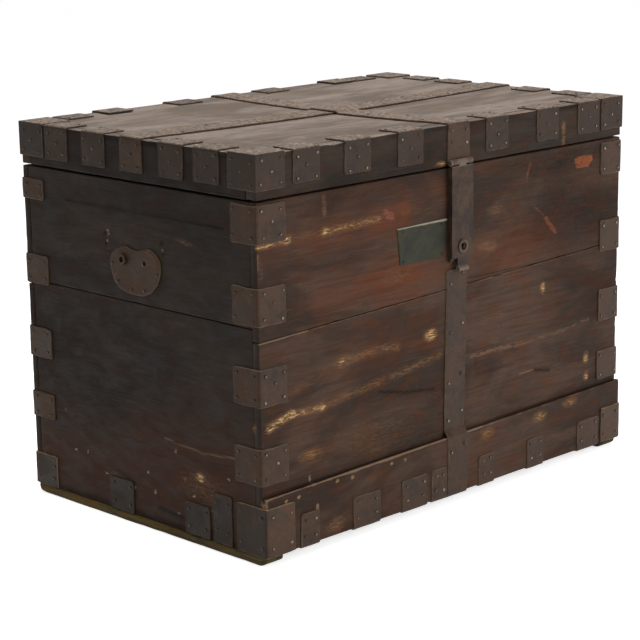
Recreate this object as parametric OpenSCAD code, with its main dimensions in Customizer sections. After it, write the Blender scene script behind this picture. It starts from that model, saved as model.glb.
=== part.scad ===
// Iron-bound wooden storage trunk with a hinged lid, a strap hasp over a slot lock,
// a kidney-shaped handle plate on each end and a skid under each end.
// X runs along the front, the front faces -Y, Z is up and the floor is Z = 0.

/* [Case] */
// Length of the trunk along its front, over the wood
body_w = 858; // [780:1:980]
// Depth of the trunk from front to back, over the wood
body_d = 546; // [480:1:640]
// Height of the wooden case above the skids
case_h = 534; // [500:1:600]
// Thickness of the front, back and end boards
wall_t = 22; // [20:0.5:28]
// Depth of the rabbet that the end boards seat in
rabbet_d = 8; // [4:0.5:12]
// Thickness of the bottom boards
bottom_t = 18; // [12:0.5:24]
// Shrinkage gap between the bottom boards
board_gap = 0.5; // [0.3:0.1:2]
// Number of bottom boards
bottom_count = 3; // [2:1:5]
// Height of the front board seam above the case bottom, at the left end
front_seam_left = 328; // [300:1:350]
// Height of the front board seam above the case bottom, at the right end
front_seam_right = 353; // [300:1:370]
// Height of the end board seams above the case bottom
end_seam = 347; // [300:1:370]
// Height of the back board seam above the case bottom
back_seam = 340; // [300:1:370]

/* [Plinth and skids] */
// Thickness of the board nailed along the foot of the front
plinth_t = 9; // [6:0.5:14]
// Height of the plinth board at its left end
plinth_left = 92; // [84:1:110]
// Height of the plinth board at its right end
plinth_right = 105; // [84:1:120]
// Worn chamfer along the top of the plinth board
plinth_chamfer = 4; // [1:0.5:5]
// Thickness of each skid
skid_t = 15; // [15:0.5:25]
// Width of each skid
skid_w = 44; // [36:1:60]
// How far a skid stands out past the end boards
skid_out = 2; // [0:0.5:4]
// Radius of the skid's worn ends
skid_round = 11; // [4:0.5:14]

/* [Lid] */
// Height of the lid's wooden rails
lid_h = 66; // [60:0.5:90]
// Thickness of the lid's rails
rail_t = 22; // [20:0.5:28]
// Thickness of the lid's top boards
lid_board_t = 18; // [12:0.5:24]
// Open line between the case and the lid
lid_gap = 2; // [1:0.5:4]

/* [Iron clips] */
// Thickness of the iron clips
clip_t = 2.5; // [1.5:0.25:3]
// Usual width of an iron clip
clip_w = 57; // [44:1:62]
// How far a lid clip hangs down the lid's side
clip_drop = 52; // [40:1:56]
// How far a lid clip reaches over the top or under the case
clip_over = 42; // [28:1:50]
// Places of the lid's front and back clips, as shares of the length
lid_clip_at = [0.118, 0.243, 0.379, 0.618, 0.767, 0.894]; // [0:0.001:1]
// Places of the lid's end clips, as shares of the depth
lid_end_clip_at = [0.167, 0.335, 0.667, 0.810]; // [0:0.001:1]
// Usual height of a clip on the case's upright corners
corner_clip_h = 57; // [44:1:60]
// Front left corner's clips: share of the way up, and height as a share of the usual one
front_left_clips = [[0, 1], [0.333, 1], [0.667, 1], [1, 1]]; // [0:0.001:1]
// Front right corner's clips, likewise
front_right_clips = [[0, 0.89], [0.295, 0.98], [0.631, 0.95], [1, 0.96]]; // [0:0.001:1]
// Back left corner's clips, likewise
back_left_clips = [[0, 0.75], [0.293, 0.86], [0.628, 0.84], [0.99, 0.58]]; // [0:0.001:1]
// Back right corner's clips, likewise
back_right_clips = [[0, 1], [0.333, 0.9], [0.667, 1], [1, 0.9]]; // [0:0.001:1]
// Centre of the top corner clip below the top of the case
corner_clip_top = 33; // [32:1:60]
// Centre of the lowest corner clip above the plinth board's higher end
corner_clip_low = 33; // [32:1:50]
// Height of the left plate on the plinth's corner
plinth_plate_left = 77; // [60:1:82]
// Height of the right plate on the plinth's corner
plinth_plate_right = 62; // [56:1:82]
// Height of the clips along the foot of the front
foot_clip_h = 52; // [40:1:66]
// Places of the front foot clips, as shares of the length
foot_clip_at = [0.104, 0.248, 0.376, 0.580, 0.728, 0.896]; // [0:0.001:1]
// Widths of the front foot clips
foot_clip_w = [38, 60, 58, 38, 42, 57]; // [30:1:62]
// Width of the foot clip that lies beside the lower strap
strap_clip_w = 36; // [28:1:38]
// Space between that clip and the lower strap
strap_clip_space = 1.5; // [1:0.5:4]
// Places of the left end's foot clips, as shares of the depth
end_foot_clip_at = [0.406, 0.735]; // [0:0.001:1]
// Height of the foot clips on the ends
end_clip_h = 54; // [40:1:66]
// Distance of the tall clip's centre from the left end's front edge
tall_clip_in = 87; // [82:1:96]
// Width of the tall clip on the left end
tall_clip_w = 42; // [30:1:46]
// Height of the tall clip on the left end
tall_clip_h = 82; // [60:1:96]

/* [Straps] */
// Thickness of the iron straps and hinge leaves
strap_t = 3; // [2:0.25:4]
// Width of the straps on the lid and of the hinge leaves
strap_w = 51; // [40:1:60]
// Place of the centre strap, right of the middle
strap_x = 7; // [-10:0.5:20]
// Run of the joggle where the centre strap climbs over the long strap
joggle_run = 8; // [4:0.5:14]
// Width of the strap below the hasp
low_strap_w = 47; // [36:1:56]
// Sideways place of the lower strap's top, left of the centre strap
low_strap_shift = 4; // [0:0.5:8]
// Sideways lean of the lower strap over its length, to the left
low_strap_lean = 8; // [0:0.5:12]
// How far the lower strap's top lies below the end of the hasp's tongue
low_strap_down = 1; // [0:0.5:8]
// How far the straps turn under the case
strap_under = 36; // [24:1:44]

/* [Hasp and lock] */
// Thickness of the hasp plate
hasp_t = 4; // [3:0.25:5]
// Radius of the hasp's hinge barrel
hasp_barrel_r = 5; // [4.5:0.25:5.5]
// Radius of the hasp's hinge pin
hasp_pin_r = 2; // [1.5:0.25:2.5]
// Height of the hasp's hinge above the lid's lower edge
hasp_hinge_up = 6; // [5:0.5:9]
// Length of the hasp from its hinge to its square end
hasp_l = 152; // [150:1:156]
// Width of the tongue below the hasp
tongue_w = 23; // [16:0.5:30]
// Length of the tongue below the hasp
tongue_l = 18; // [12:0.5:22]
// How far the finger curl stands out from the hasp's face
curl_out = 4; // [3:0.25:6]
// Height of the keyhole below the hasp's hinge
keyhole_down = 133; // [131:0.5:136]
// Radius of the keyhole's round part
keyhole_r = 3.5; // [2.5:0.25:4]
// Width of the keyhole's slot
keyhole_slot_w = 3.6; // [2:0.2:4.4]
// Length of the keyhole's slot below the round part's centre
keyhole_slot_l = 9; // [7:0.5:10]
// Height that the raised ring round the keyhole stands out
ring_t = 2.5; // [1.5:0.25:4]
// Outer radius of the ring round the keyhole
ring_r = 11; // [10:0.25:12]
// Inner radius of the ring round the keyhole
ring_hole_r = 6.5; // [6:0.25:8]
// Thickness of the lock plate on the front board
lock_plate_t = 5; // [4:0.25:5.5]
// Width of the lock plate
lock_plate_w = 46; // [42:1:46]
// Width of the lock case
lock_w = 38; // [36:1:40]
// Height of the lock case
lock_h = 60; // [58:1:62]
// Depth of the lock case in the board
lock_d = 17; // [15:0.5:18]
// Thickness of the lock case's walls
lock_wall = 2; // [1.5:0.25:2.5]
// Height of the lock case's top above the keyhole
lock_up = 39.5; // [38:0.5:41]
// How far the lock plate reaches below the lock case
lock_plate_low = 4; // [2:0.5:8]
// Radius of the post that the key turns on
key_post_r = 1.5; // [1:0.1:1.6]
// Thickness of the shelves that carry the bolt
shelf_t = 2; // [1:0.25:2.5]
// Thickness of the staple behind the hasp
staple_t = 5; // [4:0.25:6]
// Height of the staple
staple_h = 16; // [14:0.5:18]
// Height of the staple's centre above the keyhole
staple_up = 22; // [21:0.5:24]
// Reach of the staple into the lock, from the back of the hasp
staple_reach = 18; // [17:0.25:18.5]
// Space below the staple in its slot
slot_drop = 3; // [2:0.5:4]
// Side of the square lock bolt
bolt_side = 5; // [4:0.25:5.5]

/* [Hinges] */
// Outer radius of the lid hinges' barrels
hinge_barrel_r = 5.5; // [5:0.25:6.5]
// Radius of the lid hinges' pins
hinge_pin_r = 2.5; // [2:0.25:3]
// Thickness of the hinge pins' heads
hinge_head_t = 1.6; // [1:0.1:2.5]
// How far those heads reach past the pins, in radius
hinge_head_over = 1; // [0.5:0.25:1.5]
// Distance of each outer hinge from the centre hinge
hinge_spread = 262; // [200:1:300]
// Length of an outer hinge's leaf down the case
hinge_leaf_h = 150; // [100:1:190]

/* [End handles] */
// Thickness of the handle plates
plate_t = 3; // [2:0.25:4]
// Height of the handle plate's two holes above the bottom of the case
plate_z = 413; // [400:1:425]
// Distance between the handle plate's two holes
eye_gap = 50; // [44:1:56]
// Radius of the handle plate's two holes
eye_hole_r = 4.5; // [4:0.25:5]
// Radius of each lobe of the handle plate
lobe_r = 30; // [28:0.5:33]
// Distance between the lobes' centres
lobe_gap = 58; // [54:1:62]
// Depth of the notch between the lobes
notch_depth = 9; // [6:0.5:14]
// Distance of the rivets from the handle plate's edge
rivet_in = 4.5; // [4.5:0.25:8]
// Radius of the handle plate's round foot
plate_foot_r = 30; // [26:0.5:34]
// Drop from the lobes' centres to the foot's centre
plate_foot_drop = 15; // [11:0.5:20]
// Drop from the two holes to the lobes' centres
lobe_drop = 11; // [8:0.5:14]
// Height of the worn collar left round one hole
collar_h = 4; // [2:0.25:5]
// Outer radius of that collar
collar_r = 9; // [8:0.25:11]
// Radius of the handle's round iron
bail_r = 4.5; // [3.5:0.25:5]
// How much thinner the handle's arms are than its grip, in radius
bail_taper = 0.5; // [0.25:0.25:1]
// Drop of the handle from its pivot to its grip
bail_drop = 62; // [50:1:66]
// Radius of the handle's bends
bail_bend = 14; // [10:0.5:18]
// Length of the grip between the bends
grip_l = 64; // [56:1:72]
// Space between the handle and the plate behind it
bail_space = 4; // [2:0.5:8]
// Radius of the handle's pins in the eyes
bail_pin_r = 2.6; // [2:0.1:3]
// How far those pins reach past the eyes
pin_past = 1; // [0.5:0.25:2]
// Outer radius of each eye
lug_r = 7; // [6:0.25:9]
// Thickness of each eye
lug_w = 7; // [5:0.5:9]
// Space between each eye and the handle's arm
eye_clear = 1.5; // [0.5:0.25:3]

/* [Name plate] */
// Width of the bare name plate at its top
name_w_top = 112; // [90:1:116]
// Width of the bare name plate at its foot
name_w_low = 100; // [80:1:110]
// Height of the name plate
name_h = 59; // [45:1:66]
// Thickness of the name plate
name_t = 1.5; // [1:0.25:2]
// Distance of the name plate's pins from its edges
name_pin_in = 6; // [4:0.5:12]
// Space between the name plate and the lock plate
name_space = 5; // [4:0.5:12]
// Height of the name plate's centre above the bottom of the case
name_z = 424; // [405:1:440]

/* [Nails and clearances] */
// Radius of a clip nail's head
nail_r = 3.4; // [2:0.1:4.5]
// Height of a clip nail's head
nail_h = 1.2; // [0.5:0.1:2]
// Radius of a pin nail's head on the name plate
pin_head_r = 2; // [1:0.1:2.5]
// Heights of the nails on the front and back foot clips, as shares of their height
foot_nail_rows = [0.3, 0.78]; // [0.1:0.01:0.9]
// Heights of the nails on the ends' foot clips and corner plates, as shares of their height
end_nail_rows = [0.25, 0.8]; // [0.1:0.01:0.9]
// Number of nails along each half of the lid's long strap
long_strap_nails = 4; // [2:1:6]
// Number of nails along each half of the lid's centre strap
centre_strap_nails = 3; // [2:1:4]
// Drops of the lower strap's upper pairs of nails below its top
low_strap_nails = [15, 95, 180]; // [12:1:200]
// Distance of a pair of nails above and below the lower strap's step
step_nail_off = 20; // [14:1:30]
// Height by which the two nails of a pair on the lower strap differ from their middle
nail_stagger = 6; // [0:0.5:10]
// Distance from a clip's edge to its nails
nail_in = 9; // [6:0.5:11]
// Radial clearance of a hinge pin in its knuckles
pin_clear = 0.05; // [0.02:0.01:0.1]
// Clearance between moving iron parts
run_clear = 0.3; // [0.2:0.05:0.5]
// Clearance of the staple and bolt in the lock
lock_clear = 1; // [0.5:0.1:1.5]

/* [Hidden] */
$fn = 48;
case_z = skid_t;
case_top = case_z + case_h;
lid_z = case_top + lid_gap;
lid_top = lid_z + lid_h;
half_w = body_w / 2;
half_d = body_d / 2;
front_y = -half_d;
// Overlap that joins the shapes of one piece
weld = 0.1;
plinth_y = front_y - plinth_t;
wood = "#4a3628";
dark_wood = "#2e2a27";
top_wood = "#8a7d70";
raw_wood = "#5c5640";
iron = "#4b3b33";
worn_iron = "#6b5d54";
brass = "#3e4440";

// Seams of the front, as heights at any x
function front_seam(x) =
    case_z + front_seam_left + (front_seam_right - front_seam_left) * (x + half_w) / body_w;
function plinth_top(x) = case_z + plinth_left + (plinth_right - plinth_left) * (x + half_w) / body_w;

// Hasp, lock and staple places
hasp_y = front_y - hasp_barrel_r - run_clear;
hasp_z = lid_z + hasp_hinge_up;
hasp_face = hasp_y - hasp_barrel_r;
hasp_back = hasp_face + hasp_t;
hasp_top = hasp_z - hasp_barrel_r - 2 * run_clear;
hasp_end = hasp_z - hasp_l;
knuckle_w = strap_w / 3;
key_z = hasp_z - keyhole_down;
staple_z = key_z + staple_up;
staple_tip = hasp_back + staple_reach;
slot_w = staple_t + 2 * lock_clear;
slot_low = staple_z - staple_h / 2 - slot_drop;
lock_top = key_z + lock_up;
lock_low = lock_top - lock_h;
lock_back = front_y + lock_d;
bolt_y = front_y + lock_clear + lock_wall + bolt_side / 2;
bolt_rest = strap_x + slot_w / 2 + lock_clear / 2;
bolt_l = strap_x + lock_w / 2 - lock_wall - run_clear - bolt_rest;
lock_plate_face = front_y - lock_plate_t;

// Lid hinge places
hinge_y = half_d + hinge_barrel_r + run_clear;
hinge_z = case_top + lid_gap / 2;
hinge_at = [strap_x - hinge_spread, strap_x, strap_x + hinge_spread];

// Lower strap: the middle of its width at a height, and where it steps out over the plinth
low_top_z = hasp_end - tongue_l - low_strap_down;
low_x = strap_x - low_strap_shift;
function low_strap_x(z) = low_x - low_strap_lean * (low_top_z - z) / (low_top_z - case_z);
step_top = plinth_top(low_x) + plinth_t + 1;
step_low = plinth_top(low_x) - 1;

// Front foot clips: the spread ones and the one beside the lower strap
foot_clip_x = concat([for (share = foot_clip_at) share * body_w - half_w],
                     [low_strap_x(case_z) - (low_strap_w + strap_clip_w) / 2 - strap_clip_space]);
foot_clip_all_w = concat(foot_clip_w, [strap_clip_w]);

// Clips up the case's corners
corner_clip_first = case_top - corner_clip_top;
corner_clip_last = case_z + max(plinth_left, plinth_right) + corner_clip_low;
function clip_z(clip) = corner_clip_last + clip[0] * (corner_clip_first - corner_clip_last);
function clip_h(clip) = clip[1] * corner_clip_h;

// Handle places
eye_z = case_z + plate_z;
lobe_z = eye_z - lobe_drop;
plate_foot_z = lobe_z - plate_foot_drop;
bail_x = half_w + plate_t + bail_r + bail_space;

// Reach of the ironwork past the wood, and the shift that centres the trunk on its origin
left_reach = max(clip_t + nail_h, skid_out, plate_t + collar_h);
right_reach = bail_x - half_w + lug_r;
front_edge = min(plinth_y - strap_t - nail_h, hasp_face - curl_out);
back_edge = hinge_y + hinge_barrel_r;
mid_x = (right_reach - left_reach) / 2;
mid_y = (front_edge + back_edge) / 2;

// Shapes

// Box between two opposite corners
module block(low, high) translate(low) cube(high - low);

// Outline in X and Z, given thickness from y0 to y1
module along_y(y0, y1) translate([0, y1, 0]) rotate([90, 0, 0]) linear_extrude(y1 - y0) children();

// Outline in Y and Z, given thickness from x0 to x1
module along_x(x0, x1) translate([x0, 0, 0]) rotate([90, 0, 90]) linear_extrude(x1 - x0) children();

// The trunk's four sides: local x runs along the side and -y points outward
module at_front() children();
module at_left() rotate([0, 0, -90]) children();
module at_back() rotate([0, 0, 180]) children();
module at_right() rotate([0, 0, 90]) children();

// Angle iron in section: both legs measured from the wooden corner at the origin
module angle_section(leg_a, leg_b, t) {
    difference() {
        union() {
            translate([-t, -t]) square([leg_a + t, t]);
            translate([-t, -t]) square([t, leg_b + t]);
        }
        difference() {
            translate([-t, -t]) square(t);
            circle(t);
        }
    }
}

// Clip over the lid's top edge, and clip under the case's foot, both centred at local x
module top_clip(at, half) {
    along_x(at - clip_w / 2, at + clip_w / 2)
        translate([-half, lid_top]) mirror([0, 1]) angle_section(clip_over, clip_drop, clip_t);
}
module foot_clip(at, w, half) {
    along_x(at - w / 2, at + w / 2)
        translate([-half, case_z]) angle_section(clip_over, foot_clip_h, clip_t);
}

// Domed nail head on a side, facing -y
module side_nail(x, z, y, r = nail_r) {
    translate([x, y, z]) rotate([90, 0, 0]) cylinder(h = nail_h, r1 = r, r2 = r * 0.55, $fn = 24);
}

// Nail head on a level face
module top_nail(x, y, z, r = nail_r) {
    translate([x, y, z]) cylinder(h = nail_h, r1 = r, r2 = r * 0.55, $fn = 24);
}

// Four nails near a leaf's corners and one at its middle, on a side
module nail_five(x, z, w, h, y) {
    for (sx = [-1, 1], sz = [-1, 1])
        side_nail(x + sx * (w / 2 - nail_in), z + sz * (h / 2 - nail_in), y);
    side_nail(x, z, y);
}

// Hinge knuckle along X, with the bore for its pin
module knuckle(x0, x1, y, z, r, pin_r) {
    translate([x0, y, z]) rotate([0, 90, 0]) difference() {
        cylinder(h = x1 - x0, r = r);
        translate([0, 0, -1]) cylinder(h = x1 - x0 + 2, r = pin_r + pin_clear);
    }
}

// Bore of a knuckle on its own, to cut a leaf with
module knuckle_bore(x0, x1, y, z, pin_r) {
    translate([x0 - 1, y, z]) rotate([0, 90, 0]) cylinder(h = x1 - x0 + 2, r = pin_r + pin_clear);
}

// Keyhole outline round a centre
module keyhole(grow = 0) {
    circle(keyhole_r + grow);
    translate([-keyhole_slot_w / 2 - grow, -keyhole_slot_l - grow])
        square([keyhole_slot_w + 2 * grow, keyhole_slot_l + grow]);
}

// Case boards

// Front or back board, full length, with a rabbet at each end for the end boards
module long_board(points, y_out, y_in) {
    end_y = y_out < 0 ? y_in - rabbet_d : y_out - wall_t + rabbet_d;
    difference() {
        along_y(min(y_out, y_in), max(y_out, y_in)) polygon(points);
        for (s = [-1, 1])
            translate([s * (half_w - wall_t / 2), y_out < 0 ? y_in - rabbet_d / 2 : y_in + rabbet_d / 2,
                       case_z + case_h / 2])
                cube([wall_t, rabbet_d, case_h + 2], center = true);
    }
}

module lock_pocket() {
    block([strap_x - lock_w / 2, front_y - 1, lock_low], [strap_x + lock_w / 2, lock_back, lock_top]);
    block([strap_x - slot_w / 2, front_y - 1, lock_low + 1],
          [strap_x + slot_w / 2, staple_tip + lock_clear, case_top + 1]);
}

module front_upper_board() {
    color(wood) difference() {
        long_board([[-half_w, front_seam(-half_w)], [half_w, front_seam(half_w)],
                    [half_w, case_top], [-half_w, case_top]], front_y, front_y + wall_t);
        lock_pocket();
    }
}

module front_lower_board() {
    color(wood)
        long_board([[-half_w, case_z], [half_w, case_z], [half_w, front_seam(half_w)],
                    [-half_w, front_seam(-half_w)]], front_y, front_y + wall_t);
}

module back_board(z0, z1) {
    color(dark_wood)
        long_board([[-half_w, z0], [half_w, z0], [half_w, z1], [-half_w, z1]], half_d, half_d - wall_t);
}

module back_upper_board() back_board(case_z + back_seam, case_top);
module back_lower_board() back_board(case_z, case_z + back_seam);

// End board, seated in the rabbets of the front and back boards
module end_board(side, z0, z1) {
    reach = half_d - wall_t + rabbet_d;
    color(dark_wood)
        translate([side * (half_w - wall_t / 2), 0, (z0 + z1) / 2])
            cube([wall_t, 2 * reach, z1 - z0], center = true);
}

module left_upper_board() end_board(-1, case_z + end_seam, case_top);
module left_lower_board() end_board(-1, case_z, case_z + end_seam);
module right_upper_board() end_board(1, case_z + end_seam, case_top);
module right_lower_board() end_board(1, case_z, case_z + end_seam);

module bottom_boards() {
    inner_w = body_w - 2 * wall_t;
    inner_d = body_d - 2 * wall_t;
    board_d = (inner_d - (bottom_count - 1) * board_gap) / bottom_count;
    color(dark_wood) for (i = [0 : bottom_count - 1])
        translate([-inner_w / 2, -inner_d / 2 + i * (board_d + board_gap), case_z])
            cube([inner_w, board_d, bottom_t]);
}

module front_plinth_board() {
    color(wood) difference() {
        along_y(plinth_y, front_y)
            polygon([[-half_w, case_z], [half_w, case_z], [half_w, plinth_top(half_w)],
                     [-half_w, plinth_top(-half_w)]]);
        translate([-half_w, plinth_y, plinth_top(-half_w)])
            rotate([0, -atan((plinth_right - plinth_left) / body_w), 0])
                along_x(-1, body_w + 10)
                    polygon([[-1, 1], [plinth_chamfer, 1], [plinth_chamfer, 0], [0, -plinth_chamfer],
                             [-1, -plinth_chamfer]]);
    }
}

// Skid with worn ends, under one end of the trunk
module skid(side) {
    x_out = side * (half_w + skid_out);
    x_in = x_out - side * skid_w;
    y_low = front_y - plinth_t / 2;
    color(raw_wood) along_x(min(x_out, x_in), max(x_out, x_in)) difference() {
        translate([y_low, 0]) square([half_d - y_low, skid_t]);
        for (end = [[y_low, -1], [half_d, 1]]) difference() {
            translate([end[0] - (end[1] > 0 ? skid_round : 1), -1]) square([skid_round + 1, skid_round + 1]);
            translate([end[0] - end[1] * skid_round, skid_round]) circle(skid_round);
        }
    }
}

module left_skid() skid(-1);
module right_skid() skid(1);

// Iron on the case

// Clips up one upright corner, made at the front left and mirrored to the others
module corner_clips(clips, mirror_x, mirror_y) {
    color(worn_iron) mirror([mirror_x, 0, 0]) mirror([0, mirror_y, 0]) for (clip = clips)
        translate([-half_w, front_y, clip_z(clip) - clip_h(clip) / 2])
            linear_extrude(clip_h(clip)) angle_section(clip_w, clip_w, clip_t);
}

module front_left_corner_clips() corner_clips(front_left_clips, 0, 0);
module front_right_corner_clips() corner_clips(front_right_clips, 1, 0);
module back_left_corner_clips() corner_clips(back_left_clips, 0, 1);
module back_right_corner_clips() corner_clips(back_right_clips, 1, 1);

// Upright angle plate at one foot corner of the case
module foot_corner(side_x, side_y, reach_y, leg_x, leg_y, h) {
    mirror([side_x, 0, 0]) mirror([0, side_y, 0])
        translate([-half_w, -reach_y, case_z]) linear_extrude(h) angle_section(leg_x, leg_y, clip_t);
}

module plinth_corner_plates() {
    front_leg = plinth_t + clip_w;
    color(iron) {
        foot_corner(0, 0, half_d + plinth_t, clip_w, front_leg, plinth_plate_left);
        foot_corner(1, 0, half_d + plinth_t, clip_w, front_leg, plinth_plate_right);
        for (s = [0, 1]) foot_corner(s, 1, half_d, clip_w, clip_w, end_clip_h);
    }
}

module front_foot_clips() {
    color(worn_iron) for (i = [0 : len(foot_clip_x) - 1])
        foot_clip(foot_clip_x[i], foot_clip_all_w[i], half_d + plinth_t);
}

module back_foot_clips() {
    color(iron) at_back() for (share = lid_clip_at)
        foot_clip(share * body_w - half_w, clip_w, half_d);
}

// Flat clip at the foot of an end, as high as the skid lets it reach
module end_clip(at, w, h) {
    block([at - w / 2, -half_w - clip_t, case_z], [at + w / 2, -half_w, case_z + h]);
}

module left_foot_clips() {
    color(iron) at_left() {
        for (share = end_foot_clip_at) end_clip(share * body_d - half_d, clip_w, end_clip_h);
        end_clip(half_d - tall_clip_in, tall_clip_w, tall_clip_h);
    }
}

module right_foot_clips() {
    color(iron) at_right() for (share = lid_end_clip_at)
        end_clip(share * body_d - half_d, clip_w, end_clip_h);
}

// Strap from the lock to the foot: a bent profile, cut to its leaning outline
module front_strap() {
    w = low_strap_w / 2;
    foot_z = case_z - strap_t;
    color(worn_iron) intersection() {
        along_x(low_strap_x(foot_z) - low_strap_w, low_x + low_strap_w)
            polygon([[front_y, low_top_z], [front_y, step_top], [plinth_y, step_low], [plinth_y, case_z],
                     [plinth_y + strap_under, case_z], [plinth_y + strap_under, foot_z],
                     [plinth_y - strap_t, foot_z], [plinth_y - strap_t, step_low],
                     [front_y - strap_t, step_top], [front_y - strap_t, low_top_z]]);
        along_y(plinth_y - 2 * strap_t, plinth_y + 2 * strap_under)
            polygon([[low_strap_x(foot_z) - w, foot_z], [low_strap_x(foot_z) + w, foot_z],
                     [low_x + w, low_top_z], [low_x - w, low_top_z]]);
    }
}

// Part of a hinge leaf that clears the other leaf's knuckles round the pin
module knuckle_space(x0, x1, y, z, r) {
    translate([x0, y, z]) rotate([0, 90, 0]) cylinder(h = x1 - x0, r = r + 2 * run_clear);
}

// Hinge leaf down the back of the case, with the middle knuckle, hanging from z = hinge_z
module case_hinge_leaf(x, low) {
    a = x - strap_w / 2;
    b = x + strap_w / 2;
    m = knuckle_w / 2;
    difference() {
        union() {
            block([a, half_d, low], [b, half_d + strap_t, hinge_z]);
            knuckle(x - m, x + m, hinge_y, hinge_z, hinge_barrel_r, hinge_pin_r);
        }
        knuckle_bore(a, b, hinge_y, hinge_z, hinge_pin_r);
        knuckle_space(a - 1, x - m, hinge_y, hinge_z, hinge_barrel_r);
        knuckle_space(x + m, b + 1, hinge_y, hinge_z, hinge_barrel_r);
    }
}

module back_centre_hinge_leaf() {
    color(iron) {
        case_hinge_leaf(strap_x, case_z - strap_t);
        block([strap_x - strap_w / 2, half_d - strap_under, case_z - strap_t],
              [strap_x + strap_w / 2, half_d + strap_t, case_z]);
    }
}

module back_outer_hinge_leaves() {
    color(iron) for (i = [0, 2]) case_hinge_leaf(hinge_at[i], hinge_z - hinge_leaf_h);
}

// Pin with a head at each end, along X
module hinge_pin(x, w, y, z, r) {
    translate([x - w / 2, y, z]) rotate([0, 90, 0]) cylinder(h = w, r = r);
    for (s = [-1, 1]) translate([x + s * (w + hinge_head_t) / 2, y, z]) rotate([0, 90, 0])
        cylinder(h = hinge_head_t, r = r + hinge_head_over, center = true);
}

module lid_hinge_pins() {
    color(iron) for (x = hinge_at) hinge_pin(x, strap_w, hinge_y, hinge_z, hinge_pin_r);
}

// Lock

module lock_plate() {
    color(iron) along_y(lock_plate_face, front_y) difference() {
        translate([strap_x - lock_plate_w / 2, lock_low - lock_plate_low])
            square([lock_plate_w, case_top - lock_low + lock_plate_low]);
        translate([strap_x, key_z]) keyhole(0.4);
        translate([strap_x - slot_w / 2, slot_low]) square([slot_w, case_h]);
    }
}

module lock_case() {
    fit = run_clear;
    x0 = strap_x - lock_w / 2 + fit;
    x1 = strap_x + lock_w / 2 - fit;
    back_in = lock_back - fit - lock_wall;
    shelf_y = bolt_y + bolt_side / 2 + fit;
    shelf_z = staple_z - bolt_side / 2 - fit;
    color(iron) {
        difference() {
            block([x0, front_y, lock_low + fit], [x1, lock_back - fit, lock_top - fit]);
            block([x0 + lock_wall, front_y + lock_wall, lock_low + fit + lock_wall],
                  [x1 - lock_wall, back_in, lock_top - fit - lock_wall]);
            along_y(front_y - 1, front_y + lock_wall + 1) translate([strap_x, key_z]) keyhole(0.4);
            block([strap_x - slot_w / 2, front_y - 1, slot_low],
                  [strap_x + slot_w / 2, staple_tip + lock_clear, lock_top + 1]);
        }
        // Key post on the back wall, in line with the keyhole
        translate([strap_x, back_in + weld, key_z]) rotate([90, 0, 0])
            cylinder(h = back_in - front_y - 2 * lock_wall, r = key_post_r, $fn = 32);
        // Shelves under and behind the bolt, on both sides of the staple's slot
        for (span = [[strap_x + slot_w / 2 + fit, x1 - lock_wall + weld],
                     [x0 + lock_wall - weld, strap_x - slot_w / 2 - fit]]) {
            block([span[0], front_y + lock_wall - weld, shelf_z - shelf_t],
                  [span[1], back_in + weld, shelf_z]);
            block([span[0], shelf_y, shelf_z - weld],
                  [span[1], back_in + weld, staple_z + bolt_side / 2]);
        }
    }
}

module lock_bolt() {
    color(worn_iron) translate([bolt_rest, bolt_y - bolt_side / 2, staple_z - bolt_side / 2])
        cube([bolt_l, bolt_side, bolt_side]);
}

// Bare name plate, wider at its top
name_x = strap_x - lock_plate_w / 2 - name_space - name_w_top / 2;
module name_plate() {
    z = case_z + name_z;
    color(brass) along_y(front_y - name_t, front_y)
        polygon([[name_x - name_w_top / 2, z + name_h / 2], [name_x + name_w_top / 2, z + name_h / 2],
                 [name_x + name_w_low / 2, z - name_h / 2], [name_x - name_w_low / 2, z - name_h / 2]]);
}

module name_plate_pins() {
    color(worn_iron) for (sx = [-1, 1], sz = [-1, 1])
        side_nail(name_x + sx * (name_w_low / 2 - name_pin_in),
                  case_z + name_z + sz * (name_h / 2 - name_pin_in), front_y - name_t, pin_head_r);
}

// End handles

// Kidney outline: two lobes and a round foot, joined by the lines that touch both circles
lobe_c = [lobe_gap / 2, lobe_z];
foot_c = [0, plate_foot_z];
down_v = foot_c - lobe_c;
touch_a = atan2(down_v[1], down_v[0]) + acos((lobe_r - plate_foot_r) / norm(down_v));
touch_n = [cos(touch_a), sin(touch_a)];

module plate_outline() {
    notch_z = lobe_z + lobe_r - notch_depth;
    right = [foot_c + plate_foot_r * touch_n, lobe_c + lobe_r * touch_n, lobe_c, [lobe_c[0], notch_z]];
    left = [for (i = [len(right) - 1 : -1 : 0]) [-right[i][0], right[i][1]]];
    polygon(concat(right, left));
    translate(foot_c) circle(plate_foot_r);
    for (s = [-1, 1]) translate([s * lobe_c[0], lobe_z]) circle(lobe_r);
}

module handle_plate() {
    color(iron) along_y(-half_w - plate_t, -half_w) difference() {
        plate_outline();
        for (s = [-1, 1]) translate([s * eye_gap / 2, eye_z]) circle(eye_hole_r);
    }
}

module left_handle_plate() at_left() handle_plate();
module right_handle_plate() at_right() handle_plate();

module left_handle_collar() {
    color(iron) at_left() along_y(-half_w - plate_t - collar_h, -half_w - plate_t)
        translate([-eye_gap / 2, eye_z]) difference() {
            circle(collar_r);
            circle(eye_hole_r);
        }
}

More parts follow.
